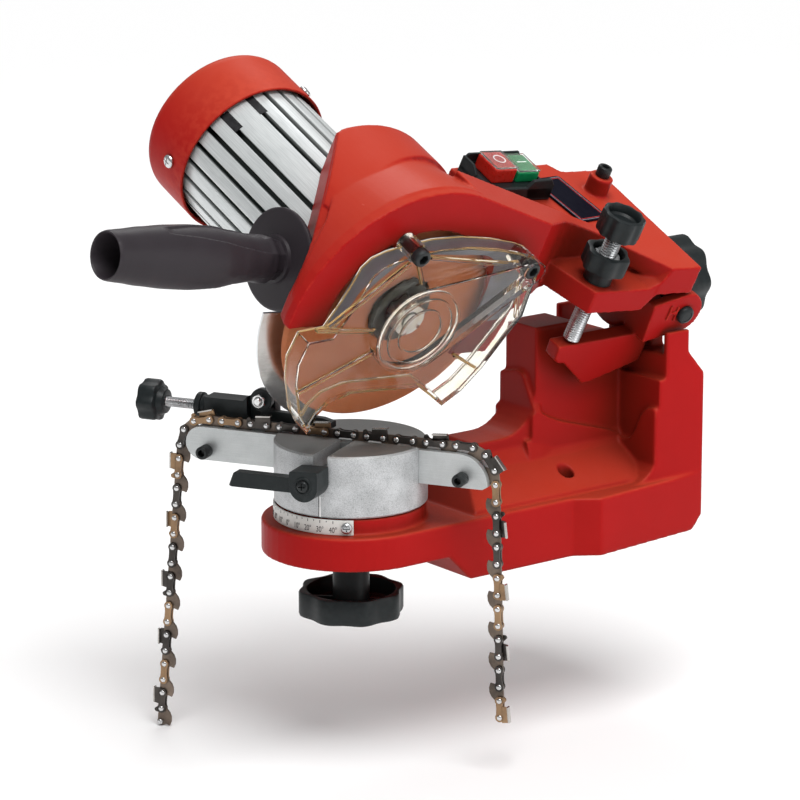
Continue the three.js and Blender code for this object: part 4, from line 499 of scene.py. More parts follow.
class Effect(Enum):
    """Surface effects that several finishes share, each one a node group."""

    GRAIN = "surface grain"
    WEAR = "edge wear"
    DUST = "settled dust"
    # Painted shade in corners, recesses and under other parts.
    CORNER_SHADE = "painted corner shade"
    BRUSH = "brush lines"

    def tree(self) -> bpy.types.NodeTree:
        """Returns the effect's node group, which is made once.

        Returns:
            The node group.
        """
        known = bpy.data.node_groups.get(self.value)
        if known:
            return known
        group = bpy.data.node_groups.new(self.value, "ShaderNodeTree")
        board = Board(group)
        makers = {Effect.GRAIN: self._grain, Effect.WEAR: self._wear, Effect.DUST: self._dust,
                  Effect.BRUSH: self._brush, Effect.CORNER_SHADE: self._corner_shade}
        makers[self](board)
        return group

    @staticmethod
    def _ends(board: Board, takes: dict[str, object],
              gives: Sequence[str]) -> tuple[bpy.types.Node, bpy.types.Node]:
        """Adds a group's sockets and the nodes that stand for them.

        Args:
            board: The group's board.
            takes: The inputs by name, each with its usual number or vector.
            gives: The names of the outputs, all plain numbers.

        Returns:
            The node that brings the inputs in and the node that takes the outputs away.
        """
        new_socket = board.tree.interface.new_socket
        for name, value in takes.items():
            kind = "NodeSocketFloat" if isinstance(value, float) else "NodeSocketVector"
            new_socket(name, in_out="INPUT", socket_type=kind).default_value = value
        for name in gives:
            new_socket(name, in_out="OUTPUT", socket_type="NodeSocketFloat")
        nodes = board.tree.nodes
        return nodes.new("NodeGroupInput"), nodes.new("NodeGroupOutput")

    def _grain(self, board: Board) -> None:
        """Mottled patches, fine grain and specks, by their sizes in millimetres.

        Args:
            board: The board of the group's nodes.
        """
        entry, leave = self._ends(board, {"Size": 1.0, "Patch": 20.0}, ("Fine", "Mottle", "Speck"))
        place = board.add("TexCoord").outputs["Object"]
        fine_scale = board.sum("DIVIDE", 1 / MM, entry.outputs["Size"])
        patch_scale = board.sum("DIVIDE", 1 / MM, entry.outputs["Patch"])
        fine = board.add("TexNoise", Vector=place, Scale=fine_scale, Detail=3.0, Roughness=0.6)
        patch = board.add("TexNoise", Vector=place, Scale=patch_scale, Detail=4.0, Roughness=0.55)
        cells = board.add("TexVoronoi", Vector=place, Scale=fine_scale)
        speck = board.sum("SUBTRACT", 1.0, cells.outputs["Distance"], clamp=True)
        board.feed(leave, Fine=fine.outputs[0], Mottle=patch.outputs[0], Speck=speck)

    def _wear(self, board: Board) -> None:
        """Broken rubbed lines where the surface turns a sharp edge.

        Args:
            board: The board of the group's nodes.
        """
        entry, leave = self._ends(board, {"Reach": 0.05, "Break": 4.0}, ("Mask",))
        sharp = 0.52
        shape = board.add("NewGeometry")
        place = board.add("TexCoord")
        scale = board.sum("DIVIDE", 1 / MM, entry.outputs["Break"])
        noise = board.add("TexNoise", Vector=place.outputs["Object"], Scale=scale, Detail=3.0)
        raised = board.sum("SUBTRACT", shape.outputs["Pointiness"], sharp)
        edge = board.sum("DIVIDE", raised, entry.outputs["Reach"], clamp=True)
        broken = board.add("MapRange", Value=noise.outputs[0], From_Min=0.4, From_Max=0.62)
        board.feed(leave, Mask=board.sum("MULTIPLY", edge, broken.outputs[0]))

    def _dust(self, board: Board) -> None:
        """A thin uneven film on whatever faces up, and how far it faces up.

        Args:
            board: The board of the group's nodes.
        """
        entry, leave = self._ends(board, {"Amount": 0.3}, ("Mask", "Up"))
        shape = board.add("NewGeometry")
        parts = board.add("SeparateXYZ", Vector=shape.outputs["Normal"])
        place = board.add("TexCoord")
        noise = board.add("TexNoise", Vector=place.outputs["Object"], Scale=60.0, Detail=5.0)
        film = board.sum("MULTIPLY", parts.outputs[2], noise.outputs[0], clamp=True)
        board.feed(leave, Up=board.sum("MAXIMUM", parts.outputs[2], 0.0),
                   Mask=board.sum("MULTIPLY", film, entry.outputs["Amount"]))

    def _corner_shade(self, board: Board) -> None:
        """Painted shade: how deep a point lies in a corner, a recess or under a part, by the recess's
        size in millimetres.

        Args:
            board: The board of the group's nodes.
        """
        entry, leave = self._ends(board, {"Size": 50.0}, ("Mask",))
        reach = board.sum("DIVIDE", entry.outputs["Size"], 1 / MM)
        open_air = board.add("AmbientOcclusion", {"samples": 8}, Distance=reach)
        closed = board.add("MapRange", Value=open_air.outputs["AO"], From_Min=0.88, From_Max=0.35)
        board.feed(leave, Mask=closed.outputs[0])

    def _brush(self, board: Board) -> None:
        """Long fine lines along one direction.

        Args:
            board: The board of the group's nodes.
        """
        entry, leave = self._ends(board, {"Along": (1.0, 0.0, 0.0), "Size": 0.4}, ("Line",))
        stretch = 0.97
        along = entry.outputs["Along"]
        place = board.add("TexCoord").outputs["Object"]
        dot = board.add("VectorMath", {"operation": "DOT_PRODUCT"}, i0=place, i1=along)
        less = board.sum("MULTIPLY", dot.outputs["Value"], -stretch)
        slide = board.add("VectorMath", {"operation": "SCALE"}, i0=along, Scale=less)
        short = board.add("VectorMath", {"operation": "ADD"}, i0=place, i1=slide.outputs[0])
        scale = board.sum("DIVIDE", 1 / MM, entry.outputs["Size"])
        noise = board.add("TexNoise", Vector=short.outputs[0], Scale=scale, Detail=3.0)
        board.feed(leave, Line=noise.outputs[0])


@dataclass(frozen=True)
class Finish:
    """The finish of a piece, made into a material once."""

    label: str
    slot: str

    def material(self) -> bpy.types.Material:
        """Makes the material, once for all pieces that have the finish.

        Returns:
            The material.
        """
        known = bpy.data.materials.get(self.label)
        if known:
            return known
        made = bpy.data.materials.new(self.label)
        made.use_nodes = True
        board = Board(made.node_tree)
        self.paint(board, made.node_tree.nodes["Principled BSDF"])
        return made

    def paint(self, board: Board, surface: bpy.types.Node) -> None:
        """Links the finish's nodes to the surface shader."""
        raise NotImplementedError

    @staticmethod
    def effect(board: Board, kind: Effect, **values: object) -> bpy.types.Node:
        """Places an effect's group in a material."""
        return board.add("Group", {"node_tree": kind.tree()}, **values)

    @staticmethod
    def dented(board: Board, height: object, strength: float, depth: float) -> bpy.types.NodeSocket:
        """Returns the normals of relief of a depth in millimetres."""
        bump = board.add("Bump", Height=height, Strength=strength, Distance=depth * MM)
        return bump.outputs[0]


def rgba(colour: Colour) -> tuple[float, float, float, float]:
    """Returns a colour with full cover."""
    return (*colour, 1.0)


@dataclass(frozen=True)
class CastPaint(Finish):
    """Powder paint on a casting: faint orange peel, rubbed edges and a little dust, with a painted
    lighter tone on faces that look up and painted shade in corners, recesses and under other parts.
    """

    colour: Colour
    deep: Colour
    rubbed: Colour
    # Painted light: the lighter, more orange tone given to faces that look up.
    painted_top_light: Colour
    gloss: float = 0.36
    peel: float = 1.6
    film: Colour = (0.62, 0.55, 0.5)
    # Painted shade: the dark colour laid into corners, recesses and under other parts, and the sizes
    # of the near and wide recesses that it fills.
    painted_shade: Colour = (0.19, 0.016, 0.008)
    near_shade_size: float = 45.0
    wide_shade_size: float = 230.0

    def paint(self, board: Board, surface: bpy.types.Node) -> None:
        """Links the paint's nodes.

        Args:
            board: The board of the material's nodes.
            surface: The surface shader.
        """
        grain = self.effect(board, Effect.GRAIN, Size=self.peel, Patch=34.0)
        wear = self.effect(board, Effect.WEAR, Reach=0.05, Break=5.0)
        dust = self.effect(board, Effect.DUST, Amount=0.03)
        side = board.blend(grain.outputs["Mottle"], rgba(self.deep), rgba(self.colour))
        # Painted light: faces that look up are mixed toward a lighter, more orange tone.
        base = board.blend(board.sum("POWER", dust.outputs["Up"], 2.0), side, rgba(self.painted_top_light))
        worn = board.blend(board.sum("MULTIPLY", wear.outputs["Mask"], 0.35), base, rgba(self.rubbed))
        dusty = board.blend(dust.outputs["Mask"], worn, rgba(self.film))
        # Painted shade: darker in corners, in recesses and under other parts, near and wide, by
        # ambient occlusion.
        near = self.effect(board, Effect.CORNER_SHADE, Size=self.near_shade_size).outputs["Mask"]
        wide = self.effect(board, Effect.CORNER_SHADE, Size=self.wide_shade_size).outputs["Mask"]
        closed = board.sum("MULTIPLY_ADD", wide, 0.55, board.sum("MULTIPLY", near, 0.5), clamp=True)
        rough = board.sum("MULTIPLY_ADD", grain.outputs["Fine"], 0.14, self.gloss - 0.07)
        board.feed(surface, Base_Color=board.blend(closed, dusty, rgba(self.painted_shade)), Roughness=rough,
                   Normal=self.dented(board, grain.outputs["Fine"], 0.25, 0.12),
                   Specular_IOR_Level=0.06)


@dataclass(frozen=True)
class Moulded(Finish):
    """Moulded plastic with a fine spark-eroded texture and polished high spots."""

    colour: Colour
    gloss: float = 0.45
    pitted: float = 0.6
    bright: float = 0.28

    def paint(self, board: Board, surface: bpy.types.Node) -> None:
        """Links the plastic's nodes.

        Args:
            board: The board of the material's nodes.
            surface: The surface shader.
        """
        grain = self.effect(board, Effect.GRAIN, Size=self.pitted, Patch=18.0)
        wear = self.effect(board, Effect.WEAR, Reach=0.06, Break=3.0)
        lighter = tuple(min(1.0, c * 1.5 + 0.012) for c in self.colour)
        darker = tuple(c * 0.8 for c in self.colour)
        base = board.blend(grain.outputs["Mottle"], rgba(darker), rgba(self.colour))
        rubbed = board.blend(board.sum("MULTIPLY", wear.outputs["Mask"], 0.5), base, rgba(lighter))
        rough = board.sum("MULTIPLY_ADD", grain.outputs["Fine"], 0.2, self.gloss - 0.1)
        board.feed(surface, Base_Color=rubbed, Roughness=rough,
                   Normal=self.dented(board, grain.outputs["Fine"], 0.35, 0.06),
                   Specular_IOR_Level=self.bright)


@dataclass(frozen=True)
class Metal(Finish):
    """Bare or oxidised metal with grain, mottling and lines along one direction."""

    colour: Colour
    dark: Colour
    gloss: float = 0.35
    size: float = 0.5
    along: Place = (1.0, 0.0, 0.0)
    lines: float = 0.5
    specks: float = 0.0
    metal: float = 1.0
    top: Colour | None = None

    def paint(self, board: Board, surface: bpy.types.Node) -> None:
        """Links the metal's nodes.

        Args:
            board: The board of the material's nodes.
            surface: The surface shader.
        """
        grain = self.effect(board, Effect.GRAIN, Size=self.size, Patch=14.0)
        brush = self.effect(board, Effect.BRUSH, Along=self.along, Size=0.5)
        line = board.sum("MULTIPLY", brush.outputs["Line"], self.lines)
        patch = board.sum("MULTIPLY_ADD", grain.outputs["Mottle"], 1.0 - self.lines, line)
        speck = board.sum("MULTIPLY_ADD", grain.outputs["Speck"], self.specks, patch)
        share = board.add("MapRange", Value=speck, From_Min=0.3, From_Max=0.7 + 0.6 * self.specks)
        tone = board.blend(share.outputs[0], rgba(self.dark), rgba(self.colour))
        if self.top:
            up = self.effect(board, Effect.DUST).outputs["Up"]
            tone = board.blend(board.sum("POWER", up, 3.0), tone, rgba(self.top))
        rough = board.sum("MULTIPLY_ADD", speck, 0.18, self.gloss - 0.09)
        board.feed(surface, Base_Color=self.shaded(board, tone), Roughness=rough,
                   Normal=self.dented(board, speck, 0.3, 0.05 + 0.15 * self.specks),
                   Metallic=self.metal)

    def shaded(self, board: Board, tone: bpy.types.NodeSocket) -> bpy.types.NodeSocket:
        """Returns the tone as it is; a finish may darken parts of it."""
        return tone


@dataclass(frozen=True)
class Grooved(Metal):
    """Bright lands with painted shade in the grooves, told apart by their reach from an axis."""

    centre: Place = (0.0, 0.0, 0.0)
    axis: Place = (1.0, 0.0, 0.0)
    floor: float = 40.2
    land: float = 43.8
    # Painted shade: the dark tone laid on the groove floors between the lands.
    groove_shade: Colour = (0.012, 0.018, 0.016)

    def shaded(self, board: Board, tone: bpy.types.NodeSocket) -> bpy.types.NodeSocket:
        """Returns the tone with painted shade below the lands.

        Args:
            board: The board of the material's nodes.
            tone: The metal's own tone.

        Returns:
            The tone with painted shade in its grooves.
        """
        place = board.add("TexCoord").outputs["Object"]
        away = board.add("VectorMath", {"operation": "SUBTRACT"}, i0=place,
                         i1=tuple(c * MM for c in self.centre))
        cross = board.add("VectorMath", {"operation": "CROSS_PRODUCT"}, i0=away.outputs[0],
                          i1=self.axis)
        reach = board.add("VectorMath", {"operation": "LENGTH"}, i0=cross.outputs[0])
        groove_shade_share = board.add("MapRange", Value=reach.outputs["Value"], From_Min=self.floor * MM,
                         From_Max=self.land * MM)
        return board.blend(groove_shade_share.outputs[0], rgba(self.groove_shade), tone)


@dataclass(frozen=True)
class Abrasive(Finish):
    """Bonded grit, open-grained, with darker and lighter crystals."""

    colour: Colour
    pale: Colour = (0.62, 0.3, 0.17)

    def paint(self, board: Board, surface: bpy.types.Node) -> None:
        """Links the grit's nodes.

        Args:
            board: The board of the material's nodes.
            surface: The surface shader.
        """
        grain = self.effect(board, Effect.GRAIN, Size=0.5, Patch=12.0)
        dark = tuple(c * 0.62 for c in self.colour)
        base = board.blend(grain.outputs["Speck"], rgba(dark), rgba(self.colour))
        toned = board.blend(board.sum("MULTIPLY", grain.outputs["Mottle"], 0.35), base,
                            rgba(self.pale))
        rough = board.sum("MULTIPLY_ADD", grain.outputs["Fine"], 0.2, 0.7)
        board.feed(surface, Base_Color=toned, Roughness=rough,
                   Normal=self.dented(board, grain.outputs["Speck"], 0.6, 0.25))


@dataclass(frozen=True)
class Clear(Finish):
    """Clear moulded plastic, a little uneven, with a warm tint in its thick edges."""

    tint: Colour
    gloss: float = 0.04
    index: float = 1.46
    veil: float = 1.0

    def paint(self, board: Board, surface: bpy.types.Node) -> None:
        """Links the clear plastic's nodes.

        Args:
            board: The board of the material's nodes.
            surface: The surface shader.
        """
        grain = self.effect(board, Effect.GRAIN, Size=5.0, Patch=16.0)
        wear = self.effect(board, Effect.WEAR, Reach=0.08, Break=6.0)
        warm = tuple(c * f for c, f in zip(self.tint, (0.97, 0.9, 0.74)))
        toned = board.blend(wear.outputs["Mask"], rgba(self.tint), rgba(warm))
        rough = board.sum("MULTIPLY_ADD", grain.outputs["Mottle"], 0.04, self.gloss)
        board.feed(surface, Base_Color=toned, Roughness=rough, IOR=self.index,
                   Normal=self.dented(board, grain.outputs["Fine"], 0.15, 0.08),
                   Transmission_Weight=self.veil)


# The colours and finishes of this machine

MOTOR_LINE = AXIS.to_3x3() @ Vector((1, 0, 0))
# The fourth colour of each paint is its painted light on faces that look up.
RED = CastPaint("red casting paint", "red_casting", (0.44, 0.0085, 0.0095), (0.36, 0.008, 0.008),
                (0.70, 0.09, 0.045), (0.50, 0.044, 0.019))
RED_CAP = CastPaint("red cap paint", "red_plastic", (0.43, 0.0095, 0.008), (0.39, 0.009, 0.008),
                    (0.70, 0.09, 0.045), (0.52, 0.052, 0.022), 0.42, 1.0)
BLACK = Moulded("black knob plastic", "black_plastic", (0.0105, 0.0145, 0.0155), 0.42, 0.7)
GRIP = Moulded("dark grip plastic", "black_plastic", (0.029, 0.023, 0.028), 0.46, 0.5)
ALUMINIUM = Metal("cast aluminium", "bare_aluminium", (0.66, 0.67, 0.68), (0.27, 0.28, 0.285), 0.42,
                  0.55, lines=0.0, specks=0.6, metal=0.5, top=(0.19, 0.197, 0.19))
FINS = Grooved("extruded aluminium", "bare_aluminium", (0.80, 0.83, 0.83), (0.60, 0.63, 0.63),
               0.34, 0.8, along=tuple(MOTOR_LINE), lines=0.8, metal=0.4,
               centre=tuple(AXIS.translation), axis=tuple(MOTOR_LINE))
PLATE = Metal("satin rail steel", "zinc_steel", (0.64, 0.66, 0.66), (0.46, 0.48, 0.48), 0.42,
              0.6, along=(0.866, 0.5, 0.0), lines=0.35, specks=0.15, metal=0.7)
GUARD_STEEL = Metal("polished guard steel", "zinc_steel", (0.82, 0.83, 0.84), (0.6, 0.61, 0.62),
                    0.24, 0.5, along=(0.0, 1.0, 0.0), lines=0.6)
ZINC = Metal("zinc plated steel", "zinc_steel", (0.7, 0.71, 0.72), (0.36, 0.37, 0.38), 0.28, 0.5,
             lines=0.3)
SCREW_BLACK = Metal("blackened steel", "black_steel", (0.03, 0.034, 0.035), (0.012, 0.014, 0.015),
                    0.34, 0.4, lines=0.2, metal=0.5)
PIN_BRIGHT = Metal("bright steel", "bright_steel", (0.82, 0.82, 0.82), (0.5, 0.5, 0.5), 0.22, 0.4,
                   lines=0.3)
LINER = Metal("bare inner face", "bare_aluminium", (0.20, 0.205, 0.25), (0.11, 0.115, 0.145), 0.5,
              0.8, lines=0.2, metal=0.2)
GRIT = Abrasive("bonded grit", "abrasive", (0.58, 0.15, 0.04))
GUARD = Clear("clear guard plastic", "clear_plastic", (0.985, 0.97, 0.93), 0.03, 1.3)
# Painted light: the warm and pale rods along the clear guard's edges and ribs.
WARM_EDGE_LIGHT = Clear("painted warm edge light", "clear_plastic", (0.86, 0.62, 0.30), 0.12, 1.3, 0.55)
PALE_EDGE_LIGHT = Clear("painted pale edge light", "clear_plastic", (0.93, 0.93, 0.92), 0.25, 1.2, 0.4)
LENS = Clear("button lens plastic", "clear_plastic", (0.97, 0.97, 0.97), 0.08, 1.25, 0.95)
ENAMEL = Moulded("white scale enamel", "white_scale", (0.78, 0.76, 0.72), 0.4, 0.8)
# Black ink for print, also used for painted shade in the vent mouths and beside the index line.
INK_AND_SHADE = Moulded("black ink and painted shade", "black_plastic", (0.012, 0.012, 0.014), 0.5, 0.8)
WHITE_INK = Moulded("white ink", "white_scale", (0.88, 0.88, 0.88), 0.5, 0.8)
LABEL = Moulded("dark label film", "black_plastic", (0.0045, 0.0045, 0.011), 0.5, 3.0, 0.03)
LABEL_RED = Moulded("red label line", "signal_red", (0.5, 0.03, 0.03), 0.5, 3.0)
LABEL_GREY = Moulded("grey label line", "white_scale", (0.25, 0.22, 0.26), 0.5, 3.0)
STOP_RED = Moulded("red button plastic", "signal_red", (0.62, 0.022, 0.012), 0.3, 2.0)
GO_GREEN = Moulded("green button plastic", "signal_green", (0.006, 0.3, 0.1), 0.3, 2.0)
LINK_DARK = Metal("dark chain steel", "chain_steel", (0.10, 0.088, 0.08), (0.03, 0.028, 0.026), 0.34,
                  0.6, lines=0.1, metal=0.8)
LINK_BROWN = Metal("browned chain steel", "chain_steel", (0.24, 0.185, 0.145), (0.07, 0.056, 0.047),
                   0.36, 0.6, lines=0.1, metal=0.8)
LINK_GOLD = Metal("straw coloured chain steel", "chain_steel", (0.42, 0.27, 0.15), (0.2, 0.125, 0.075),
                  0.36, 0.6, lines=0.1, metal=0.8)
CHROME = Metal("chromed cutter steel", "bright_steel", (0.62, 0.6, 0.57), (0.3, 0.28, 0.26), 0.2, 0.6,
               lines=0.3)


def dress(finish: Finish, *nodes: str) -> None:
    """Gives nodes of the frame that stay in view a finish.

    Args:
        finish: The finish.
        *nodes: The nodes' names.
    """
    for name in nodes:
        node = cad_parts[name]
        for place in node.material_slots:
            place.material = finish.material()
        LOG.info("dressed %s", name)


# Small parts that come in several places


@dataclass(frozen=True)
class SocketScrew:
    """A socket head screw with a knurled head, along Z from its seat."""

    radius: float
    head: float
    shank: float

    def blank(self, at: Matrix) -> Blank:
        """Returns its blank in a frame.

        Args:
            at: The frame that it stands in.

        Returns:
            The blank.
        """
        wide = self.radius * 1.7
        knurl = lobed(wide, 26, wide * 0.05)
        soft = self.radius * 0.16
        key = hexagon(self.radius * 0.82)
        return Blank().turned([
            (0, -self.shank), (self.radius, -self.shank), (self.radius, 0), (wide - soft, 0),
            (knurl, soft), (knurl, self.head - soft * 2), (wide - soft, self.head - soft * 0.6),
            (wide - soft * 2.4, self.head), (hexagon(self.radius * 0.9), self.head),
            (key, self.head - soft), (key, self.head * 0.4), (0, self.head * 0.3),
        ], at, 104)


@dataclass(frozen=True)
class PanScrew:
    """A pan head screw with a cross recess, along Z from its seat."""

    radius: float
    shank: float

    def blank(self, at: Matrix) -> Blank:
        """Returns its blank in a frame.

        Args:
            at: The frame that it stands in.

        Returns:
            The blank.
        """
        wide, high = self.radius * 2, self.radius * 1.15
        cross = crossed(self.radius * 1.3, self.radius * 0.36)
        deep = crossed(self.radius * 0.8, self.radius * 0.24)
        return Blank().turned([
            (0, -self.shank), (self.radius, -self.shank), (self.radius, 0), (wide * 0.97, 0),
            (wide, high * 0.15), (wide * 0.96, high * 0.5), (wide * 0.84, high * 0.78),
            (wide * 0.66, high * 0.94), (cross, high), (deep, high * 0.35), (0, high * 0.2),
        ], at, 64)


@dataclass(frozen=True)
class CupKnob:
    """A lobed grip with a cup in its outer face, along Z."""

    radius: float
    lobes: int
    scallop: float
    low: float
    high: float
    cup: float
    floor: float
    soft: float

    def blank(self, at: Matrix) -> Blank:
        """Returns its blank in a frame.

        Args:
            at: The frame that it stands in.

        Returns:
            The blank.
        """
        soft = self.soft

        def grip(inset: float) -> Callable[[float], float]:
            """Returns the grip's outline, drawn in by a distance."""
            return lobed(self.radius - inset, self.lobes, self.scallop)

        return Blank().turned([
            (0, self.low), (self.radius * 0.5, self.low), (grip(soft * 1.6), self.low),
            (grip(soft * 0.45), self.low + soft * 0.4), (grip(0), self.low + soft * 1.4),
            (grip(0), self.high - soft * 1.4), (grip(soft * 0.4), self.high - soft * 0.4),
            (grip(soft * 1.4), self.high), (self.cup + soft * 0.5, self.high),
            (self.cup, self.high - soft * 0.6), (self.cup - soft * 0.5, self.floor + soft),
            (self.cup - soft * 1.6, self.floor), (0, self.floor),
        ], at, 120)


# Sub-assemblies


@dataclass
class Studio:
    """Floor, lights and the camera of the photograph."""

    floor: float = -0.1045
    half_floor: float = 9.0
    place: Place = (1.7142, -1.4132, 0.6403)
    right: Place = (0.6094, 0.7929, 0.0)
    up: Place = (-0.1941, 0.1492, 0.9696)
    back: Place = (0.7687, -0.5909, 0.2448)
    lens: float = 180.0
    sensor: float = 36.0
    sky_way: Place = (0.42, -0.12, 0.9)
    sky_power: float = 2.45
    sky_spread: float = 38.0
    room_power: float = 0.4

    def build(self) -> None:
        """Builds the studio."""
        self.camera()
        self.ground()
        self.sky_lamp()
        self.light("right_fill", (1.5, 0.6, 0.55), (0.0, 0.0, 0.08), 0.9, 4.5)
        self.light("high_back", (-0.9, 0.5, 1.2), (0.0, 0.0, 0.15), 0.6, 4.0)
        self.surroundings()
        bpy.context.scene.view_settings.view_transform = "Standard"

    def camera(self) -> None:
        """Places the camera where the photograph was taken from."""
        data = bpy.data.cameras.new("camera")
        data.lens, data.sensor_width = self.lens, self.sensor
        camera = linked("camera", data)
        turned = Matrix((self.right, self.up, self.back)).transposed().to_4x4()
        camera.matrix_world = Matrix.Translation(self.place) @ turned
        bpy.context.scene.camera = camera

    def ground(self) -> None:
        """Lays a plain pale floor."""
        mesh = bpy.data.meshes.new("floor")
        corners = [(x * self.half_floor, y * self.half_floor, self.floor)
                   for x, y in ((-1, -1), (1, -1), (1, 1), (-1, 1))]
        mesh.from_pydata(corners, [], [(0, 1, 2, 3)])
        paint = bpy.data.materials.new("pale floor")
        paint.use_nodes = True
        board = Board(paint.node_tree)
        surface = paint.node_tree.nodes["Principled BSDF"]
        noise = board.add("TexNoise", Scale=3.0, Detail=2.0)
        tone = board.blend(noise.outputs[0], (0.95, 0.95, 0.95, 1.0), (0.97, 0.97, 0.97, 1.0))
        board.feed(surface, Base_Color=tone, Roughness=0.9)
        mesh.materials.append(paint)
        linked("floor", mesh)

    def light(self, name: str, place: Sequence[float], aim: Sequence[float], size: float,
              power: float) -> None:
        """Hangs one soft square light that looks at a point.

        Args:
            name: The light's name.
            place: Where it hangs.
            aim: What it looks at.
            size: Its width.
            power: Its power in watts.
        """
        data = bpy.data.lights.new(name, "AREA")
        data.shape, data.size, data.energy = "SQUARE", size, power
        lamp = linked(name, data)
        lamp.location = place
        lamp.rotation_euler = (Vector(aim) - Vector(place)).to_track_quat("-Z", "Y").to_euler()

    def sky_lamp(self) -> None:
        """Adds soft light from one direction that reaches the whole floor alike."""
        data = bpy.data.lights.new("sky", "SUN")
        data.energy, data.angle = self.sky_power, math.radians(self.sky_spread)
        lamp = linked("sky", data)
        lamp.rotation_euler = Vector(self.sky_way).to_track_quat("Z", "Y").to_euler()

    def surroundings(self) -> None:
        """Fills the room with even pale light, brighter above."""
        world = bpy.data.worlds.new("room")
        world.use_nodes = True
        board = Board(world.node_tree)
        back = world.node_tree.nodes["Background"]
        place = board.add("TexCoord")
        parts = board.add("SeparateXYZ", Vector=place.outputs["Generated"])
        high = board.add("MapRange", Value=parts.outputs[2], From_Min=-0.1, From_Max=0.8)
        tone = board.blend(high.outputs[0], (0.55, 0.55, 0.55, 1.0), (1.0, 1.0, 1.0, 1.0))
        board.feed(back, Color=tone, Strength=self.room_power)
        bpy.context.scene.world = world


@dataclass
class BenchCasting:
    """Foot, lobe and column, with the angle scale round the boss."""

    web: float = 14.0
    block_front: float = 183.0
    boss: float = 42.0
    scale_radius: float = 43.3
    scale_low: float = 34.3
    scale_high: float = 42.7
    screw_angle: float = 50.0
    screw_height: float = 38.5
    line_width: float = 0.34
    long_line: float = 1.5
    short_line: float = 0.8
    number_size: float = 4.5
    number_rise: float = 1.3
    number_narrowed: float = 0.74
    pad: Sequence[Point] = field(default_factory=lambda: [
        (116, 40), (116, 77.6), (123, 77), (128, 73.6), (137.5, 69.6), (173.6, 59), (179, 56.5),
        (188, 52), (188, 40)])
    corner: Sequence[Point] = field(default_factory=lambda: [
        (10, 38), (10, 54), (26.4, 54.2), (30.5, 60), (36.5, 71.5), (41, 75.6), (50, 77.4), (50, 38)])
    crease: Sequence[Point] = field(default_factory=lambda: [
        (112, 62), (121, 60), (135, 54.5), (149, 49), (166, 42), (184, 34.5)])

    def build(self) -> None:
        """Builds the casting, the scale and its screw."""
        casting("bench_casting", "base_casting", self.details(), RED, "base", 0.9, 9)
        self.scale()
        at = MACHINE @ turn(self.screw_angle, "Z") @ shift(0, -self.boss - 1.6, self.screw_height)
        piece("scale_plate_screw", PanScrew(1.6, 4.5).blank(at @ turn(90, "X")), ZINC, "base",
              ("scale_screw",))

    def details(self) -> Blank:
        """Returns the ledges on the column's flanks and front.

        Returns:
            Closed forms that grow out of the casting.
        """
        added = Blank()
        for side in (-1, 1):
            low, high = sorted((side * (self.web - 2), side * (self.web + 3.2)))
            added.plate(softened(self.pad, 5), low, high, MACHINE @ ALONG_X)
            near, far = side * (self.web - 2), side * (self.web + 12)
            added.lofted([[(near, y, 30), (far, y, 30), (far, y, 33.5), (side * (self.web + 3), y, z),
                           (near, y, z)] for y, z in self.crease], MACHINE)
            corner = [(z, side * x) for x, z in self.corner]
            added.plate(softened(corner, 4), self.block_front - 3.2, self.block_front + 2,
                        MACHINE @ ALONG_Y)
        front = [(60, -16), (96.5, -16), (97.5, -8.4), (99.4, -1.2), (98.5, 5), (86, 11.6),
                 (77.6, 17), (60, 17)]
        added.plate(softened(front, 3), 118.2, 123.5, MACHINE @ ALONG_Y)
        return added

    def scale(self) -> None:
        """Makes the curved scale with its lines and numbers."""
        piece("angle_scale", carried("scale_plate"), ENAMEL, "base", ("scale_plate",), 0.2)
        lines = Blank()
        half, top = self.line_width / 2, self.scale_high - 0.5
        for value in range(-45, 45, 5):
            tall = self.short_line if value % 10 else self.long_line
            lines.block((-half, -self.scale_radius - 0.06, top - tall),
                        (half, -self.scale_radius + 0.3, top), MACHINE @ turn(value, "Z"))
        piece("scale_lines", lines, INK_AND_SHADE, "base")
        for value in range(-40, 41, 10):
            self.number(value)

    def number(self, value: int) -> None:
        """Wraps one number of the scale round the plate.

        Args:
            value: The angle that it stands at.
        """
        text = bpy.data.curves.new(f"number_{value}", "FONT")
        text.body = f"{abs(value)}°"
        text.size = self.number_size
        text.align_x = "CENTER"
        text.extrude = 0.03
        shape = linked("number_shape", text)
        graph = bpy.context.evaluated_depsgraph_get()
        mesh = bpy.data.meshes.new_from_object(shape.evaluated_get(graph))
        bpy.data.objects.remove(shape)
        reach = self.scale_radius + 0.04
        at = Matrix.Scale(MM, 4) @ MACHINE @ turn(value, "Z")
        for corner in mesh.vertices:
            angle = math.radians(-90) + corner.co.x * self.number_narrowed / reach
            out = reach + corner.co.z
            corner.co = at @ Vector((out * math.cos(angle), out * math.sin(angle),
                                     self.scale_low + self.number_rise + corner.co.y))
        settled(f"scale_number_{'minus_' if value < 0 else ''}{abs(value)}", mesh, INK_AND_SHADE, "base", (), 30)


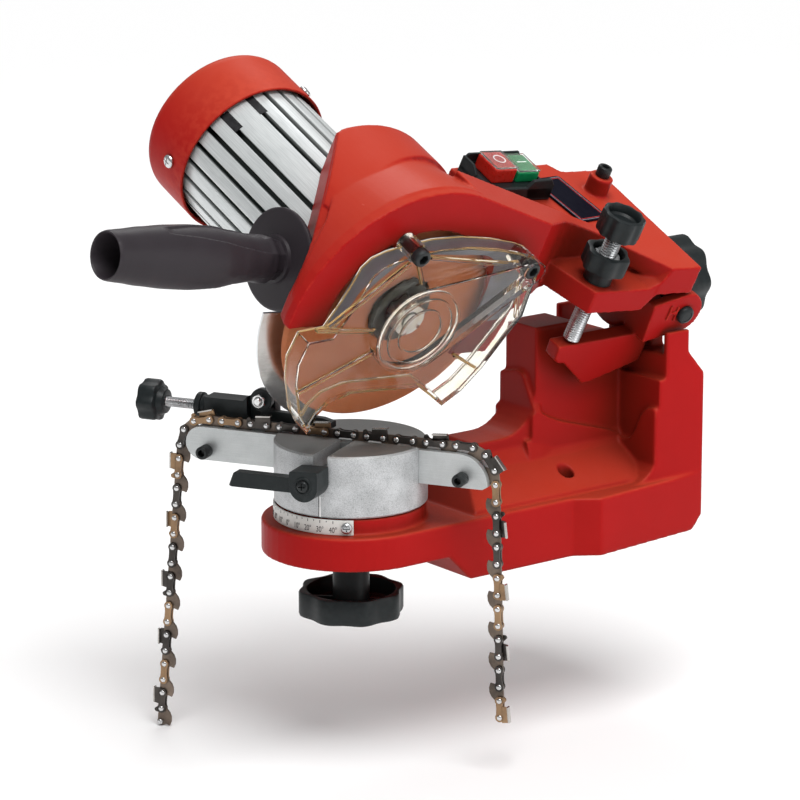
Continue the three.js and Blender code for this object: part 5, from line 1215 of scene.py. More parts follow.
@dataclass
class Vice:
    """Turntable, rails, clamp lever and the knob below."""

    radius: float = 42.8
    index_low: float = 44.0
    index_high: float = 55.5
    rail_screws: tuple[float, float] = (-85.8, 68.5)
    rail_screw_height: float = 63.4
    rail_out: float = 4.45
    lever_x: float = -3.0
    lever_z: float = 64.92
    hub: float = 8.6
    knob: float = 30.0
    knob_low: float = -23.0
    knob_high: float = -8.0
    knob_floor: float = 4.5

    def build(self) -> None:
        """Builds the vice."""
        piece("speckled_turntable", carried("turntable"), ALUMINIUM, "vice", ("turntable",), 0.5)
        inside = -self.radius + 0.4
        mark = Blank().block((-0.5, -self.radius - 0.07, self.index_low),
                             (0.5, inside, self.index_high), VICE)
        piece("index_line", mark, WHITE_INK, "vice")
        # Painted shade: a thin dark strip on the left of the index line stands for the shade in its
        # groove.
        edge = Blank().block((-0.95, -self.radius - 0.05, self.index_low + 0.2),
                             (-0.5, inside, self.index_high + 0.2), VICE)
        piece("index_line_shade", edge, INK_AND_SHADE, "vice")
        for name in ("rail_front", "rail_rear"):
            piece(name + "_plate", carried(name), PLATE, "vice", (name,), 0.35)
        for side, x in zip(("left", "right"), self.rail_screws):
            at = VICE @ shift(x, -self.rail_out - 0.3, self.rail_screw_height) @ turn(90, "X")
            piece(f"rail_socket_screw_{side}", SocketScrew(2.2, 7.9, 10.9).blank(at), SCREW_BLACK,
                  "vice", (f"rail_screw_{side}",))
        dress(ZINC, "lever_screw", "vice_bolt")
        self.lever()
        self.under_knob()

    def lever(self) -> None:
        """Makes the clamp lever, with its cross screw."""
        front = -self.radius - self.hub * 1.9
        back = -self.radius - 0.3
        at = VICE @ shift(self.lever_x, 0, self.lever_z) @ ALONG_Y
        body = Blank()
        hub = softened([(7.6, -8.3), (8.2, 8.2), *arc(-0.7, 0, 8.3, 84, 276, 16)], 1.3)
        body.plate(hub, front, back, at)
        arm = [(3.2, 0), (3.3, -42.4), (-4.6, -45.4), (-5.2, -44), (-5.1, -10), (-5.0, 0)]
        body.plate(softened(arm, 1.2, 3), front + 2.6, front + 9.4, at)
        ring = [(3.9, front - 0.5), (4.9, front - 0.5), (5.2, front - 0.1), (5.2, front + 1.0),
                (3.9, front + 1.0)]
        body.turned(ring, at, 48, True)
        piece("clamp_lever_grip", body, BLACK, "lever", ("clamp_lever",), 0.7)
        screw = PanScrew(1.7, 2.0).blank(
            VICE @ shift(self.lever_x, front - 0.1, self.lever_z) @ turn(90, "X"))
        piece("lever_cross_screw", screw, SCREW_BLACK, "lever")

    def under_knob(self) -> None:
        """Makes the dished knob under the lobe with its hub and ribs."""
        reach, low, high = self.knob, self.knob_low, self.knob_high
        floor = low + self.knob_floor
        rim = [(lobed(reach - inset, 8, scallop), height) for inset, scallop, height in (
            (2.2, 2.4, low), (0.6, 2.4, low + 0.7), (0, 2.4, low + 2.4), (0, 2.4, high - 1.0),
            (0.5, 2.4, high - 0.2), (2.4, 2.0, high))]
        knob = Blank().turned([
            (0, low + 1.2), (reach * 0.36, low + 1.2), (reach * 0.42, low), *rim,
            (reach - 5.0, high - 0.5), (reach - 6.2, floor + 1.6), (reach - 8.0, floor),
            (11.2, floor - 0.4), (10.4, floor + 1.5), (10.2, 12.5), (9.2, 14.4), (5.3, 14.7),
            (5.3, floor + 2), (0, floor + 2),
        ], MACHINE, 128)
        for k in range(4):
            knob.block((9.4, -0.8, floor - 1.0), (reach - 5.6, 0.8, floor + 5.0),
                       MACHINE @ turn(45 + 90 * k, "Z"))
        piece("under_knob", knob, BLACK, "vice_clamp", ("vice_knob",), 0.0, 32)


@dataclass
class WorkStop:
    """The adjustable stop behind the rails, with its pawl."""

    y: float = 14.0
    z: float = 84.3
    left: float = -93.0
    knob_x: float = -134.0
    knob: float = 12.1
    pivot: float = -58.0
    pawl_z: float = 92.3
    pawl_front: float = 7.5
    nut_flat: float = 3.5

    def build(self) -> None:
        """Builds the stop."""
        piece("stop_block_cast", carried("stop_block"), BLACK, "vice", ("stop_block",), 0.9)
        at = VICE @ shift(0, self.y, self.z) @ ALONG_X
        piece("stop_thread", Blank().thread(3.0, 1.0, self.knob_x + 5.75, -80.5, at), ZINC,
              "stop_spindle", ("stop_rod",), 0.0, 25)
        collar = Blank().turned([(reach, self.left - back) for reach, back in (
            (3.4, 6.8), (6.6, 6.8), (7.4, 6.2), (7.4, 3.2), (6.2, 2.8), (6.2, 0.3), (3.4, 0.3))],
            at, 64, True)
        piece("stop_collar_ring", collar, BLACK, "vice", ("stop_collar",), 0.25)
        x = self.knob_x
        grip = [(lobed(self.knob - inset, 7, 1.3), x + along) for inset, along in (
            (1.6, 0), (0.4, 0.6), (0, 1.8), (0, 9.4), (0.5, 10.6), (1.8, 11.2))]
        knob = Blank().turned([
            (0, x + 0.5), (self.knob * 0.7, x + 0.3), *grip, (8.4, x + 11.4), (7.6, x + 12.6),
            (6.9, x + 14.6), (6.2, x + 14.95), (3.3, x + 14.95), (3.3, x + 6.0), (0, x + 6.0)],
            at, 112)
        piece("stop_knob_grip", knob, BLACK, "stop_grip", ("stop_knob",), 0.0, 32)
        piece("pawl_plate", carried("pawl"), BLACK, "chain_pawl", ("pawl",), 0.6)
        self.nut()

    def nut(self) -> None:
        """Makes the pawl's bolt end and its hexagon nut."""
        face = self.pawl_front - 0.3
        at = VICE @ shift(self.pivot, face, self.pawl_z) @ turn(90, "X")
        flat = self.nut_flat
        nut = Blank().turned([
            (2.3, 0), (flat * 1.02, 0), (hexagon(flat), 0.5), (hexagon(flat), 2.9),
            (flat, 3.5), (2.9, 3.5), (2.3, 3.1)], at, 96, True)
        nut.turned([(0, -13.5), (2.2, -13.5), (2.2, 4.2), (1.7, 4.8), (0, 4.8)], at, 32)
        piece("pawl_nut", nut, PIN_BRIGHT, "vice", ("pawl_bolt",))


@dataclass
class SawChain:
    """A loop of saw chain laid over the rails, link by link."""

    left: float = -104.2
    right: float = 86.4
    ride: float = 80.3
    bend: float = 16.0
    left_end: Point = (-119.0, -102.0)
    right_end: Point = (90.0, -80.0)
    drive: float = 8.0
    strap: float = 9.5
    half: float = 2.6
    step: float = 0.4
    strap_inner: float = 0.75
    strap_outer: float = 1.95
    straw_share: float = 0.2
    seed: int = 7

    def path(self) -> list[Vector]:
        """Returns the rivet line as a fine row of points.

        Returns:
            The points, along and above the rails.
        """
        middle = self.ride - self.bend
        curve = arc(self.left + self.bend, middle, self.bend, 180, 90, 24)
        curve += arc(self.right - self.bend, middle, self.bend, 90, 0, 24)
        corners = [self.left_end, *curve, self.right_end]
        line: list[Vector] = []
        for (x0, z0), (x1, z1) in zip(corners, corners[1:]):
            steps = max(1, int(math.hypot(x1 - x0, z1 - z0) / self.step))
            line += [Vector((x0 + (x1 - x0) * k / steps, z0 + (z1 - z0) * k / steps))
                     for k in range(steps)]
        return line + [Vector(corners[-1])]

    def rivets(self) -> list[Vector]:
        """Returns the rivets, a drive link and a strap apart in turn.

        Returns:
            The rivets' places.
        """
        line = self.path()
        spots = [line[0]]
        wanted = self.drive
        for spot in line:
            if (spot - spots[-1]).length >= wanted:
                spots.append(spot)
                wanted = self.strap if wanted == self.drive else self.drive
        return spots

    def link(self, first: Vector, second: Vector) -> Matrix:
        """Returns the frame of a link: along it, away from the rails, and across it.

        Args:
            first: Its first rivet.
            second: Its second rivet.

        Returns:
            The frame.
        """
        along = (second - first).normalized()
        columns = (Vector((along.x, 0, along.y)), Vector((-along.y, 0, along.x)), Vector((0, -1, 0)))
        turned = Matrix(columns).transposed().to_4x4()
        return VICE @ shift(first.x, 0, first.y) @ turned

    def waisted(self, length: float, radius: float) -> list[Point]:
        """Returns the outline of a link that is narrower between its rivets."""
        return [*arc(0, 0, radius, 52, 308, 14), (length * 0.35, -radius * 0.72),
                (length * 0.65, -radius * 0.72), *arc(length, 0, radius, 232, 488, 14),
                (length * 0.65, radius * 0.72), (length * 0.35, radius * 0.72)]

    def tang(self, length: float) -> list[Point]:
        """Returns the outline of a drive link, with the point that runs between the rails."""
        return [*arc(0, 0, 2.45, 60, 205, 8), (-1.2, -3.4), (-1.7, -5.6), (1.0, -6.4), (3.8, -6.2),
                (length - 1.9, -5.1), (length + 0.3, -2.9), *arc(length, 0, 2.45, -40, 120, 8),
                (length * 0.62, 2.2), (length * 0.38, 2.2)]

    def cutter(self, blank: Blank, top: Blank, length: float, at: Matrix, side: int) -> None:
        """Adds the tooth of a cutting link: its side, top plate and depth gauge.

        Args:
            blank: The blank of the link.
            top: The blank of the top plates.
            length: How far its rivets lie apart.
            at: The link's frame.
            side: 1 or -1, the side that it cuts on.
        """
        inner, outer = sorted((side * self.strap_inner, side * self.strap_outer))
        tooth = [(2.6, 1.0), (3.2, 4.6), (length + 2.4, 5.3), (length + 2.9, 1.4)]
        gauge = [(-2.4, 0.8), (-2.2, 3.6), (-0.6, 4.3), (1.0, 2.4), (1.2, 0.9)]
        blank.plate(softened(tooth, 0.5, 2), inner, outer, at)
        blank.plate(softened(gauge, 0.6, 2), inner, outer, at)
        near, far = sorted((outer * 1.05, -side * 1.2))
        plate = [(3.0, 4.3), (length + 2.3, 5.0), (length + 2.7, 5.9), (3.2, 5.2)]
        top.plate(plate, near, far, at)

    def build(self) -> None:
        """Builds the chain as straps, drive links, top plates and rivets."""
        straps, drives, golds, tops, pins = Blank(), Blank(), Blank(), Blank(), Blank()
        spots = self.rivets()
        chance = random.Random(self.seed)
        for i, (first, second) in enumerate(zip(spots, spots[1:])):
            at = self.link(first, second)
            length = (second - first).length
            if i % 2 == 0:
                drives.plate(self.tang(length), -0.62, 0.62, at)
                continue
            target = golds if chance.random() < self.straw_share else straps
            for side in (-1, 1):
                low, high = sorted((side * self.strap_inner, side * self.strap_outer))
                target.plate(self.waisted(length, self.half), low, high, at)
            if (i // 2) % 2 == 0:
                self.cutter(target, tops, length, at, 1 if (i // 2) % 4 == 0 else -1)
        for spot in spots:
            at = VICE @ shift(spot.x, 0, spot.y) @ turn(90, "X")
            domed = [(0, 2.55), (1.0, 2.55), (1.5, 2.2), (1.6, 1.9)]
            pins.turned([(reach, -out) for reach, out in domed] + domed[::-1], at, 20)
        piece("chain_straps", straps, LINK_DARK, "vice", ("saw_chain",), 0.22)
        piece("chain_drive_links", drives, LINK_BROWN, "vice", (), 0.2)
        piece("chain_straw_links", golds, LINK_GOLD, "vice", (), 0.22)
        piece("chain_top_plates", tops, CHROME, "vice", (), 0.15)
        piece("chain_rivets", pins, PIN_BRIGHT, "vice")


@dataclass
class TiltJoint:
    """The carrier that tilts on the column, its pins, spring, bolt and knob."""

    knob: float = 24.5
    hub_front: float = 205.3
    hinge_y: float = 201.0
    hinge_c: float = 3.2
    ear: float = 37.0
    spring_a: float = -27.0
    spring_y: float = 181.0
    spring_radius: float = 3.8
    spring_wire: float = 0.6
    spring_turns: float = 5.0

    def build(self) -> None:
        """Builds the joint."""
        casting("carrier_casting", "tilt_carrier", Blank(), RED, "head")
        dress(ZINC, "tilt_bolt")
        for name, side in (("right", 1), ("left", -1)):
            self.pin(name, side)
        self.spring()
        self.clamp_knob()

    def pin(self, name: str, side: int) -> None:
        """Makes one hinge pin with a domed black cap.

        Args:
            name: The side's name.
            side: 1 on the right and -1 on the left.
        """
        facing = turn(0 if side > 0 else 180, "Z")
        at = HEAD @ shift(0, self.hinge_y, self.hinge_c) @ facing @ ALONG_X
        out = self.ear
        cap = Blank().turned([
            (0, 24.5), (4.0, 24.5), (4.0, out + 0.3), (5.4, out + 0.3), (5.5, out + 0.9),
            (5.3, out + 2.4), (4.6, out + 3.1), (3.4, out + 3.4), (3.2, out + 3.1),
            (0, out + 3.3)], at, 48)
        piece(f"hinge_pin_cap_{name}", cap, BLACK, "head", (f"hinge_pin_{name}",))

    def spring(self) -> None:
        """Winds the lifting spring in the space of its node."""
        inverse = HEAD.inverted()
        levels = [(inverse @ (corner.co / MM)).z
                  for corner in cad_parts["return_spring"].data.vertices]
        start, end = min(levels) + self.spring_wire, max(levels) - self.spring_wire
        steps_a_turn = 28
        steps = int(self.spring_turns * steps_a_turn)
        path = []
        for k in range(steps + 1):
            angle = math.tau * self.spring_turns * k / steps
            path.append((self.spring_a + self.spring_radius * math.cos(angle),
                         self.spring_y + self.spring_radius * math.sin(angle),
                         start + (end - start) * k / steps))
        piece("lifting_spring", Blank().swept(path, self.spring_wire, HEAD, 12), ZINC, "head",
              ("return_spring",), 0.0, 60)

    def clamp_knob(self) -> None:
        """Makes the knob behind the column."""
        front = self.hub_front + 7
        rear = front + 20
        at = HEAD @ ALONG_Y
        grip = CupKnob(self.knob, 8, 2.4, front, rear, self.knob * 0.72, rear - 5.5, 1.6).blank(at)
        grip.turned([(5.3, self.hub_front), (11.2, self.hub_front), (12.0, self.hub_front + 0.8),
                     (12.0, front + 1), (5.3, front + 1)], at, 64, True)
        piece("tilt_clamp_knob", grip, BLACK, "tilt_clamp", ("tilt_knob",), 0.0, 32)


@dataclass
class ArmCasting:
    """The arm with the wheel cover, hood, drum and saddle, and its small fittings."""

    face: float = 18.0
    label: Place = (-35.0, -48.0, 32.3)
    label_half: Point = (22.0, 12.0)
    label_turn: float = 7.0
    label_line: float = 0.4
    cap: Place = (-42.0, -22.0, 43.3)
    band_step: float = 3.0
    band_edge: float = 0.8
    hood_face: float = -61.0
    drum_band: Sequence[Place] = (
        (24, -34, 70.5), (60, -34, 72), (74, -31, 72), (92, -24.6, 72), (104, -19.5, 72),
        (117, -15, 72), (128, -14, 72), (136, -13.5, 71.2))
    cover_band: Sequence[Place] = (
        (14, 13, 78.2), (60, 13, 78.7), (90, 13, 78.9), (118, 13, 78.9), (122, 13, 78.7),
        (150, 13, 78.6), (172, 13, 78.2))

    def build(self) -> None:
        """Builds the arm."""
        casting("arm_casting", "arm_housing", self.details(), RED, "arm")
        self.liner()
        self.name_place()
        screw = SocketScrew(2.5, 6.0, 10.0).blank(ARM @ shift(*self.cap))
        piece("cap_socket_screw", screw, SCREW_BLACK, "arm", ("cap_screw",))
        piece("cable_gland_sleeve", carried("cable_gland"), BLACK, "arm", ("cable_gland",), 0.5)

    def details(self) -> Blank:
        """Returns the seats, the crossed ribs, the hood's side and the bands of the arm.

        Returns:
            Closed forms that grow out of the arm.
        """
        added = Blank()
        x, y, _ = self.cap
        added.turned([(0, 39.6), (7.0, 39.6), (7.0, 42.0), (6.6, 42.6), (0, 42.6)],
                     ARM @ shift(x, y, 0), 48)
        added.turned([(0, 14), (9.4, 14), (9.4, 19.2), (0, 19.2)], ARM @ shift(25, -68, 0), 48)
        for low, high in (((36.2, -13.2, -3.6), (38.2, -11.8, 6.4)),
                          ((36.2, -7.6, -4.4), (38.2, -6.2, 5.6)),
                          ((36.2, -12.0, 0.4), (38.2, -7.0, 1.8))):
            added.block(low, high, ARM)
        added.block((-60, -136, 14), (-9, -108, 30.6), ARM)
        self.band(added, self.drum_band, -60.5)
        self.band(added, self.cover_band, -30.0, 69.6)
        return added

    def band(self, added: Blank, ends: Sequence[Place], start: float,
             low: float | None = None) -> None:
        """Adds a smooth band round the drum or the cover, cut off slantwise by the handle.

        Args:
            added: The forms that it joins.
            ends: Angle, end along the axis and radius there, in order.
            start: Where the band begins along the axis.
            low: The radius at its beginning, or None for the same radius.
        """
        sections = []
        edge, inside = self.band_edge, 64
        for here, ahead in zip(ends, ends[1:]):
            steps = max(2, round((ahead[0] - here[0]) / self.band_step))
            for k in range(steps + (ahead is ends[-1])):
                angle, end, radius = (v + (w - v) * k / steps for v, w in zip(here, ahead))
                way = (math.cos(math.radians(angle)), math.sin(math.radians(angle)))
                first = max(start, self.hood_face + self.slant(-radius * way[0]) + edge / 2)
                part = (first - start) / (end - start)
                near = radius if low is None else low + (radius - low) * part
                rim = [(first, inside), (end, inside), (end, radius - edge), (end - edge, radius),
                       (min(first + edge, end - edge - 0.1), near), (first, near - edge)]
                sections.append([(a, r * way[0], r * way[1]) for a, r in rim])
        added.lofted(sections, AXIS)

    @staticmethod
    def slant(forward: float) -> float:
        """Returns how far the face by the handle has moved along the axis.

        Args:
            forward: The distance in front of the axis.

        Returns:
            The move in millimetres.
        """
        tangent, shoulder, handle = math.tan(math.radians(41.5)), 20.0, 61.0
        if forward <= shoulder:
            return 0.0
        if forward < handle:
            return handle * tangent * (forward - shoulder) / (handle - shoulder)
        return forward * tangent

    def liner(self) -> None:
        """Makes the bare face that shows through the guard round the wheel."""
        outer = [(-49.5, -7.0), (-50.5, 2), (-48.8, 12.6), (-46.2, 24.5), (-44.6, 32.8), (-40, 39),
                 (-31.5, 43), (-22, 45.5), (-3, 49.4), (17.5, 50.2), (40, 48), (56.5, 44.5),
                 (66.5, 41.3), (72.4, 34.6), (74, 20), (75.4, 2.4), (74.4, -6.2)]
        inner = [(51.5, -8.8), (53.5, 6), (52.5, 20), (50, 33.6), (43, 35.8), (29.4, 37.6), (14, 39.4),
                 (0.2, 40.2), (-14.7, 37.6), (-23.4, 32.2), (-30, 25.1), (-36, 17), (-39.8, 8),
                 (-42.6, -7.4)]
        face = Blank().plate(softened(outer + inner, 3), self.face - 0.8, self.face + 0.15,
                             AXIS @ ALONG_X)
        piece("cover_inner_face", face, LINER, "arm")

    def name_place(self) -> None:
        """Makes the bare dark plate with its two thin border lines."""
        at = ARM @ shift(*self.label) @ turn(self.label_turn, "Z")
        wide, deep = self.label_half
        outline = softened([(-wide, -deep), (wide, -deep), (wide, deep), (-wide, deep)], 2.5)
        piece("bare_label", Blank().plate(outline, 0, 0.8, at), LABEL, "arm", ("label_plate",), 0.15)
        half = self.label_line / 2
        for name, inset, finish in (("grey", 1.3, LABEL_GREY), ("red", 2.3, LABEL_RED)):
            line = Blank()
            x, y = wide - inset, deep - inset
            far = [(x, y), (-x, y), (-x, -y), (x, -y)]
            for (x0, y0), (x1, y1) in zip(far, far[1:] + far[:1]):
                line.block((min(x0, x1) - half, min(y0, y1) - half, 0.7),
                           (max(x0, x1) + half, max(y0, y1) + half, 0.86), at)
            piece(f"label_line_{name}", line, finish, "arm")


@dataclass
class DepthStop:
    """The threaded depth stop with its cup knob and lock knob."""

    a: float = 25.0
    y: float = -68.0
    screw: float = 5.0
    tip: float = -21.3
    knob: float = 12.8
    low: float = 49.5
    lock: float = 13.5
    lug: float = 18.8
    neck: float = 8.0
    nut_flat: float = 7.2
    pitch: float = 1.5

    def build(self) -> None:
        """Builds the stop."""
        at = ARM @ shift(self.a, self.y, 0)
        thread = Blank().thread(self.screw, self.pitch, self.tip, self.low + 7, at)
        piece("depth_thread", thread, ZINC, "depth_spindle", ("depth_screw",), 0.0, 25)
        top = self.low + 14
        cup = CupKnob(self.knob, 10, 0.9, self.low, top, self.knob * 0.74, self.low + 8.4, 1.1)
        piece("depth_cup_knob", cup.blank(at), BLACK, "depth_grip", ("depth_knob",), 0.0, 32)
        low = self.lug + self.neck
        grip = [(lobed(self.lock - inset, 6, 1.6), low + rise) for inset, rise in (
            (1.4, 0), (0.3, 0.5), (0, 1.6), (0, 10.6), (0.4, 11.5), (1.6, 12.0))]
        lock = Blank().turned([
            (5.4, self.lug), (7.6, self.lug), (8.2, self.lug + 0.6), (8.2, self.lug + 5),
            (9.4, low - 0.4), *grip, (9.7, low + 12.0), (9.3, low + 11.4), (9.0, low + 7.0),
            (5.4, low + 6.6)], at, 120, True)
        piece("depth_lock_grip", lock, BLACK, "depth_lock", ("depth_lock_knob",), 0.0, 32)
        flats = hexagon(self.nut_flat)
        nut = Blank().turned([(5.1, low + 6.7), (flats, low + 6.7), (flats, low + 9.2),
                              (7.0, low + 9.8), (5.1, low + 9.8)], at, 72, True)
        piece("depth_lock_nut", nut, ZINC, "depth_lock")


@dataclass
class SwitchBox:
    """The push button switch on the saddle."""

    left: float = -67.0
    wide: float = 31.0
    front: float = -109.5
    long: float = 46.5
    base: float = 32.3
    high: float = 8.0
    button_front: float = -101.5
    button_long: float = 17.0
    button_wide: float = 18.8
    rim: float = 2.2
    button_gap: float = 1.0
    proud: float = 6.0
    drop: float = 2.5
    lens: float = 1.7

    def build(self) -> None:
        """Builds the switch."""
        top = self.base + self.high
        right = self.left + self.wide
        box = carried("switch_housing")
        box.joined(self.flaps(top, right))
        piece("switch_box", box, BLACK, "arm", ("switch_housing",), 0.6)
        for index, (name, finish, body) in enumerate((
                ("off", STOP_RED, "off_key"), ("on", GO_GREEN, "on_key"))):
            button = carried(f"switch_{name}_button")
            piece(f"{name}_button_block", button, finish, body, (f"switch_{name}_button",), 0.8)
            lens = carried(f"switch_{name}_lens")
            piece(f"{name}_button_lens", lens, LENS, body, (f"switch_{name}_lens",), 0.45)
            self.sign(name, index, top, body)

    def flaps(self, top: float, right: float) -> Blank:
        """Returns the raised guards beside the buttons.

        Args:
            top: The height of the switch's top.
            right: Its right side.

        Returns:
            The guards.
        """
        flaps = Blank()
        rear = self.front + self.long
        near = [(rear - 20, top - 4), (rear - 20, top - 0.5), (rear - 16, top + 4.6),
                (rear - 3.4, top + 5.4), (rear, top + 1.5), (rear, top - 7), (rear - 17, top - 7)]
        flaps.plate(near, right - 2.4, right, ARM @ ALONG_X)
        far = [(self.front, top - 6), (self.front, top + 1), (self.front + 3, top + 5),
               (rear - 6, top + 5.4), (rear - 3, top + 1), (rear - 3, top - 6)]
        flaps.plate(far, self.left, self.left + 1.6, ARM @ ALONG_X)
        end = [(top - 6, self.left), (top + 3.4, self.left), (top + 3.4, self.left + 10),
               (top - 0.5, self.left + 15), (top - 6, self.left + 15)]
        flaps.plate(end, self.front, self.front + 1.8, ARM @ ALONG_Y)
        return flaps

    def sign(self, name: str, index: int, top: float, body: str) -> None:
        """Makes the ring or the bar on a button.

        Args:
            name: The button's name, off or on.
            index: Its place from the front.
            top: The height of the switch's top.
            body: The body that it rides on.
        """
        x = self.left + self.rim + self.button_wide / 2
        y = self.button_front + index * (self.button_long + self.button_gap) + self.button_long / 2
        at = ARM @ shift(x, y, top + self.proud - index * self.drop + self.lens)
        mark = Blank()
        if name == "off":
            mark.turned([(3.2, -0.1), (3.9, -0.1), (3.9, 0.08), (3.2, 0.08)], at, 48, True)
        else:
            mark.block((-0.4, -3.4, -0.1), (0.4, 3.4, 0.08), at)
        piece(f"{name}_sign", mark, WHITE_INK, body)


@dataclass
class Motor:
    """The finned motor with its red end cap."""

    cap: float = 47.6
    inner: float = 46.0
    rim: float = -135.6
    depth: float = 42.0
    corner: float = 10.0
    wall: float = 2.0
    land: float = 44.06
    screw_a: float = -149.0
    screw_turns: Place = (100.0, -42.0, 207.0)
    openings: Sequence[tuple[float, float, float, float]] = (
        (-137.0, -121.0, 133.0, 140.0), (-138.0, -122.0, 110.4, 117.0))

    def build(self) -> None:
        """Builds the motor."""
        piece("finned_housing", carried("motor_housing"), FINS, "arm", ("motor_housing",), 0.35)
        self.end_cap()
        self.vents()
        for i, degrees in enumerate(self.screw_turns):
            at = AXIS @ shift(self.screw_a, 0, 0) @ turn(degrees, "X") @ shift(0, 0, self.cap + 0.1)
            piece(f"cap_cross_screw_{i + 1}", PanScrew(2.0, 2.0).blank(at), PIN_BRIGHT, "arm",
                  (f"end_cap_screw_{i + 1}",))
        dress(ZINC, "stator_core", "front_bearing", "rear_bearing", "rotor_core", "rotor_shaft")
        dress(BLACK, "cooling_fan")

    def vents(self) -> None:
        """Makes painted shade in the vent mouths: thin dark shells over the fins there."""
        # Painted shade: dark shells laid over the fins where the vent mouths are.
        vent_shade = Blank()
        steps, under = 8, 43.5
        for first, last, low, high in self.openings:
            sections = []
            for k in range(steps + 1):
                angle = math.radians(low + (high - low) * k / steps)
                sections.append([(a, r * math.cos(angle), r * math.sin(angle)) for a, r in (
                    (first, under), (last, under), (last, self.land), (first, self.land))])
            vent_shade.lofted(sections, AXIS)
        piece("motor_vent_shade", vent_shade, INK_AND_SHADE, "arm")

    def end_cap(self) -> None:
        """Makes the deep drawn cap over the motor's rear."""
        end = self.rim - self.depth
        corner, seat = self.corner, end + self.wall
        outer = [(0, end), *arc(self.cap - corner, end + corner, corner, -90, 0, 12),
                 (self.cap, self.rim - 0.5), (self.cap - 0.4, self.rim)]
        lining = [(self.inner + 0.3, self.rim), (self.inner, self.rim - 0.5),
                  *arc(self.inner - corner + 1, end + corner + 1, corner - 1, 0, -90, 10),
                  (16.3, seat), (16.3, seat + 9), (14.3, seat + 9), (14.3, seat), (0, seat)]
        cap = Blank().turned([*outer, *lining], AXIS @ ALONG_X, 128)
        for k in range(12):
            cap.block((end - 0.3, -1.1, 12.0), (end + 1.0, 1.1, 30.0),
                      AXIS @ turn(30 * k, "X"))
        piece("motor_cap_shell", cap, RED_CAP, "arm", ("motor_end_cap",), 0.0, 35)


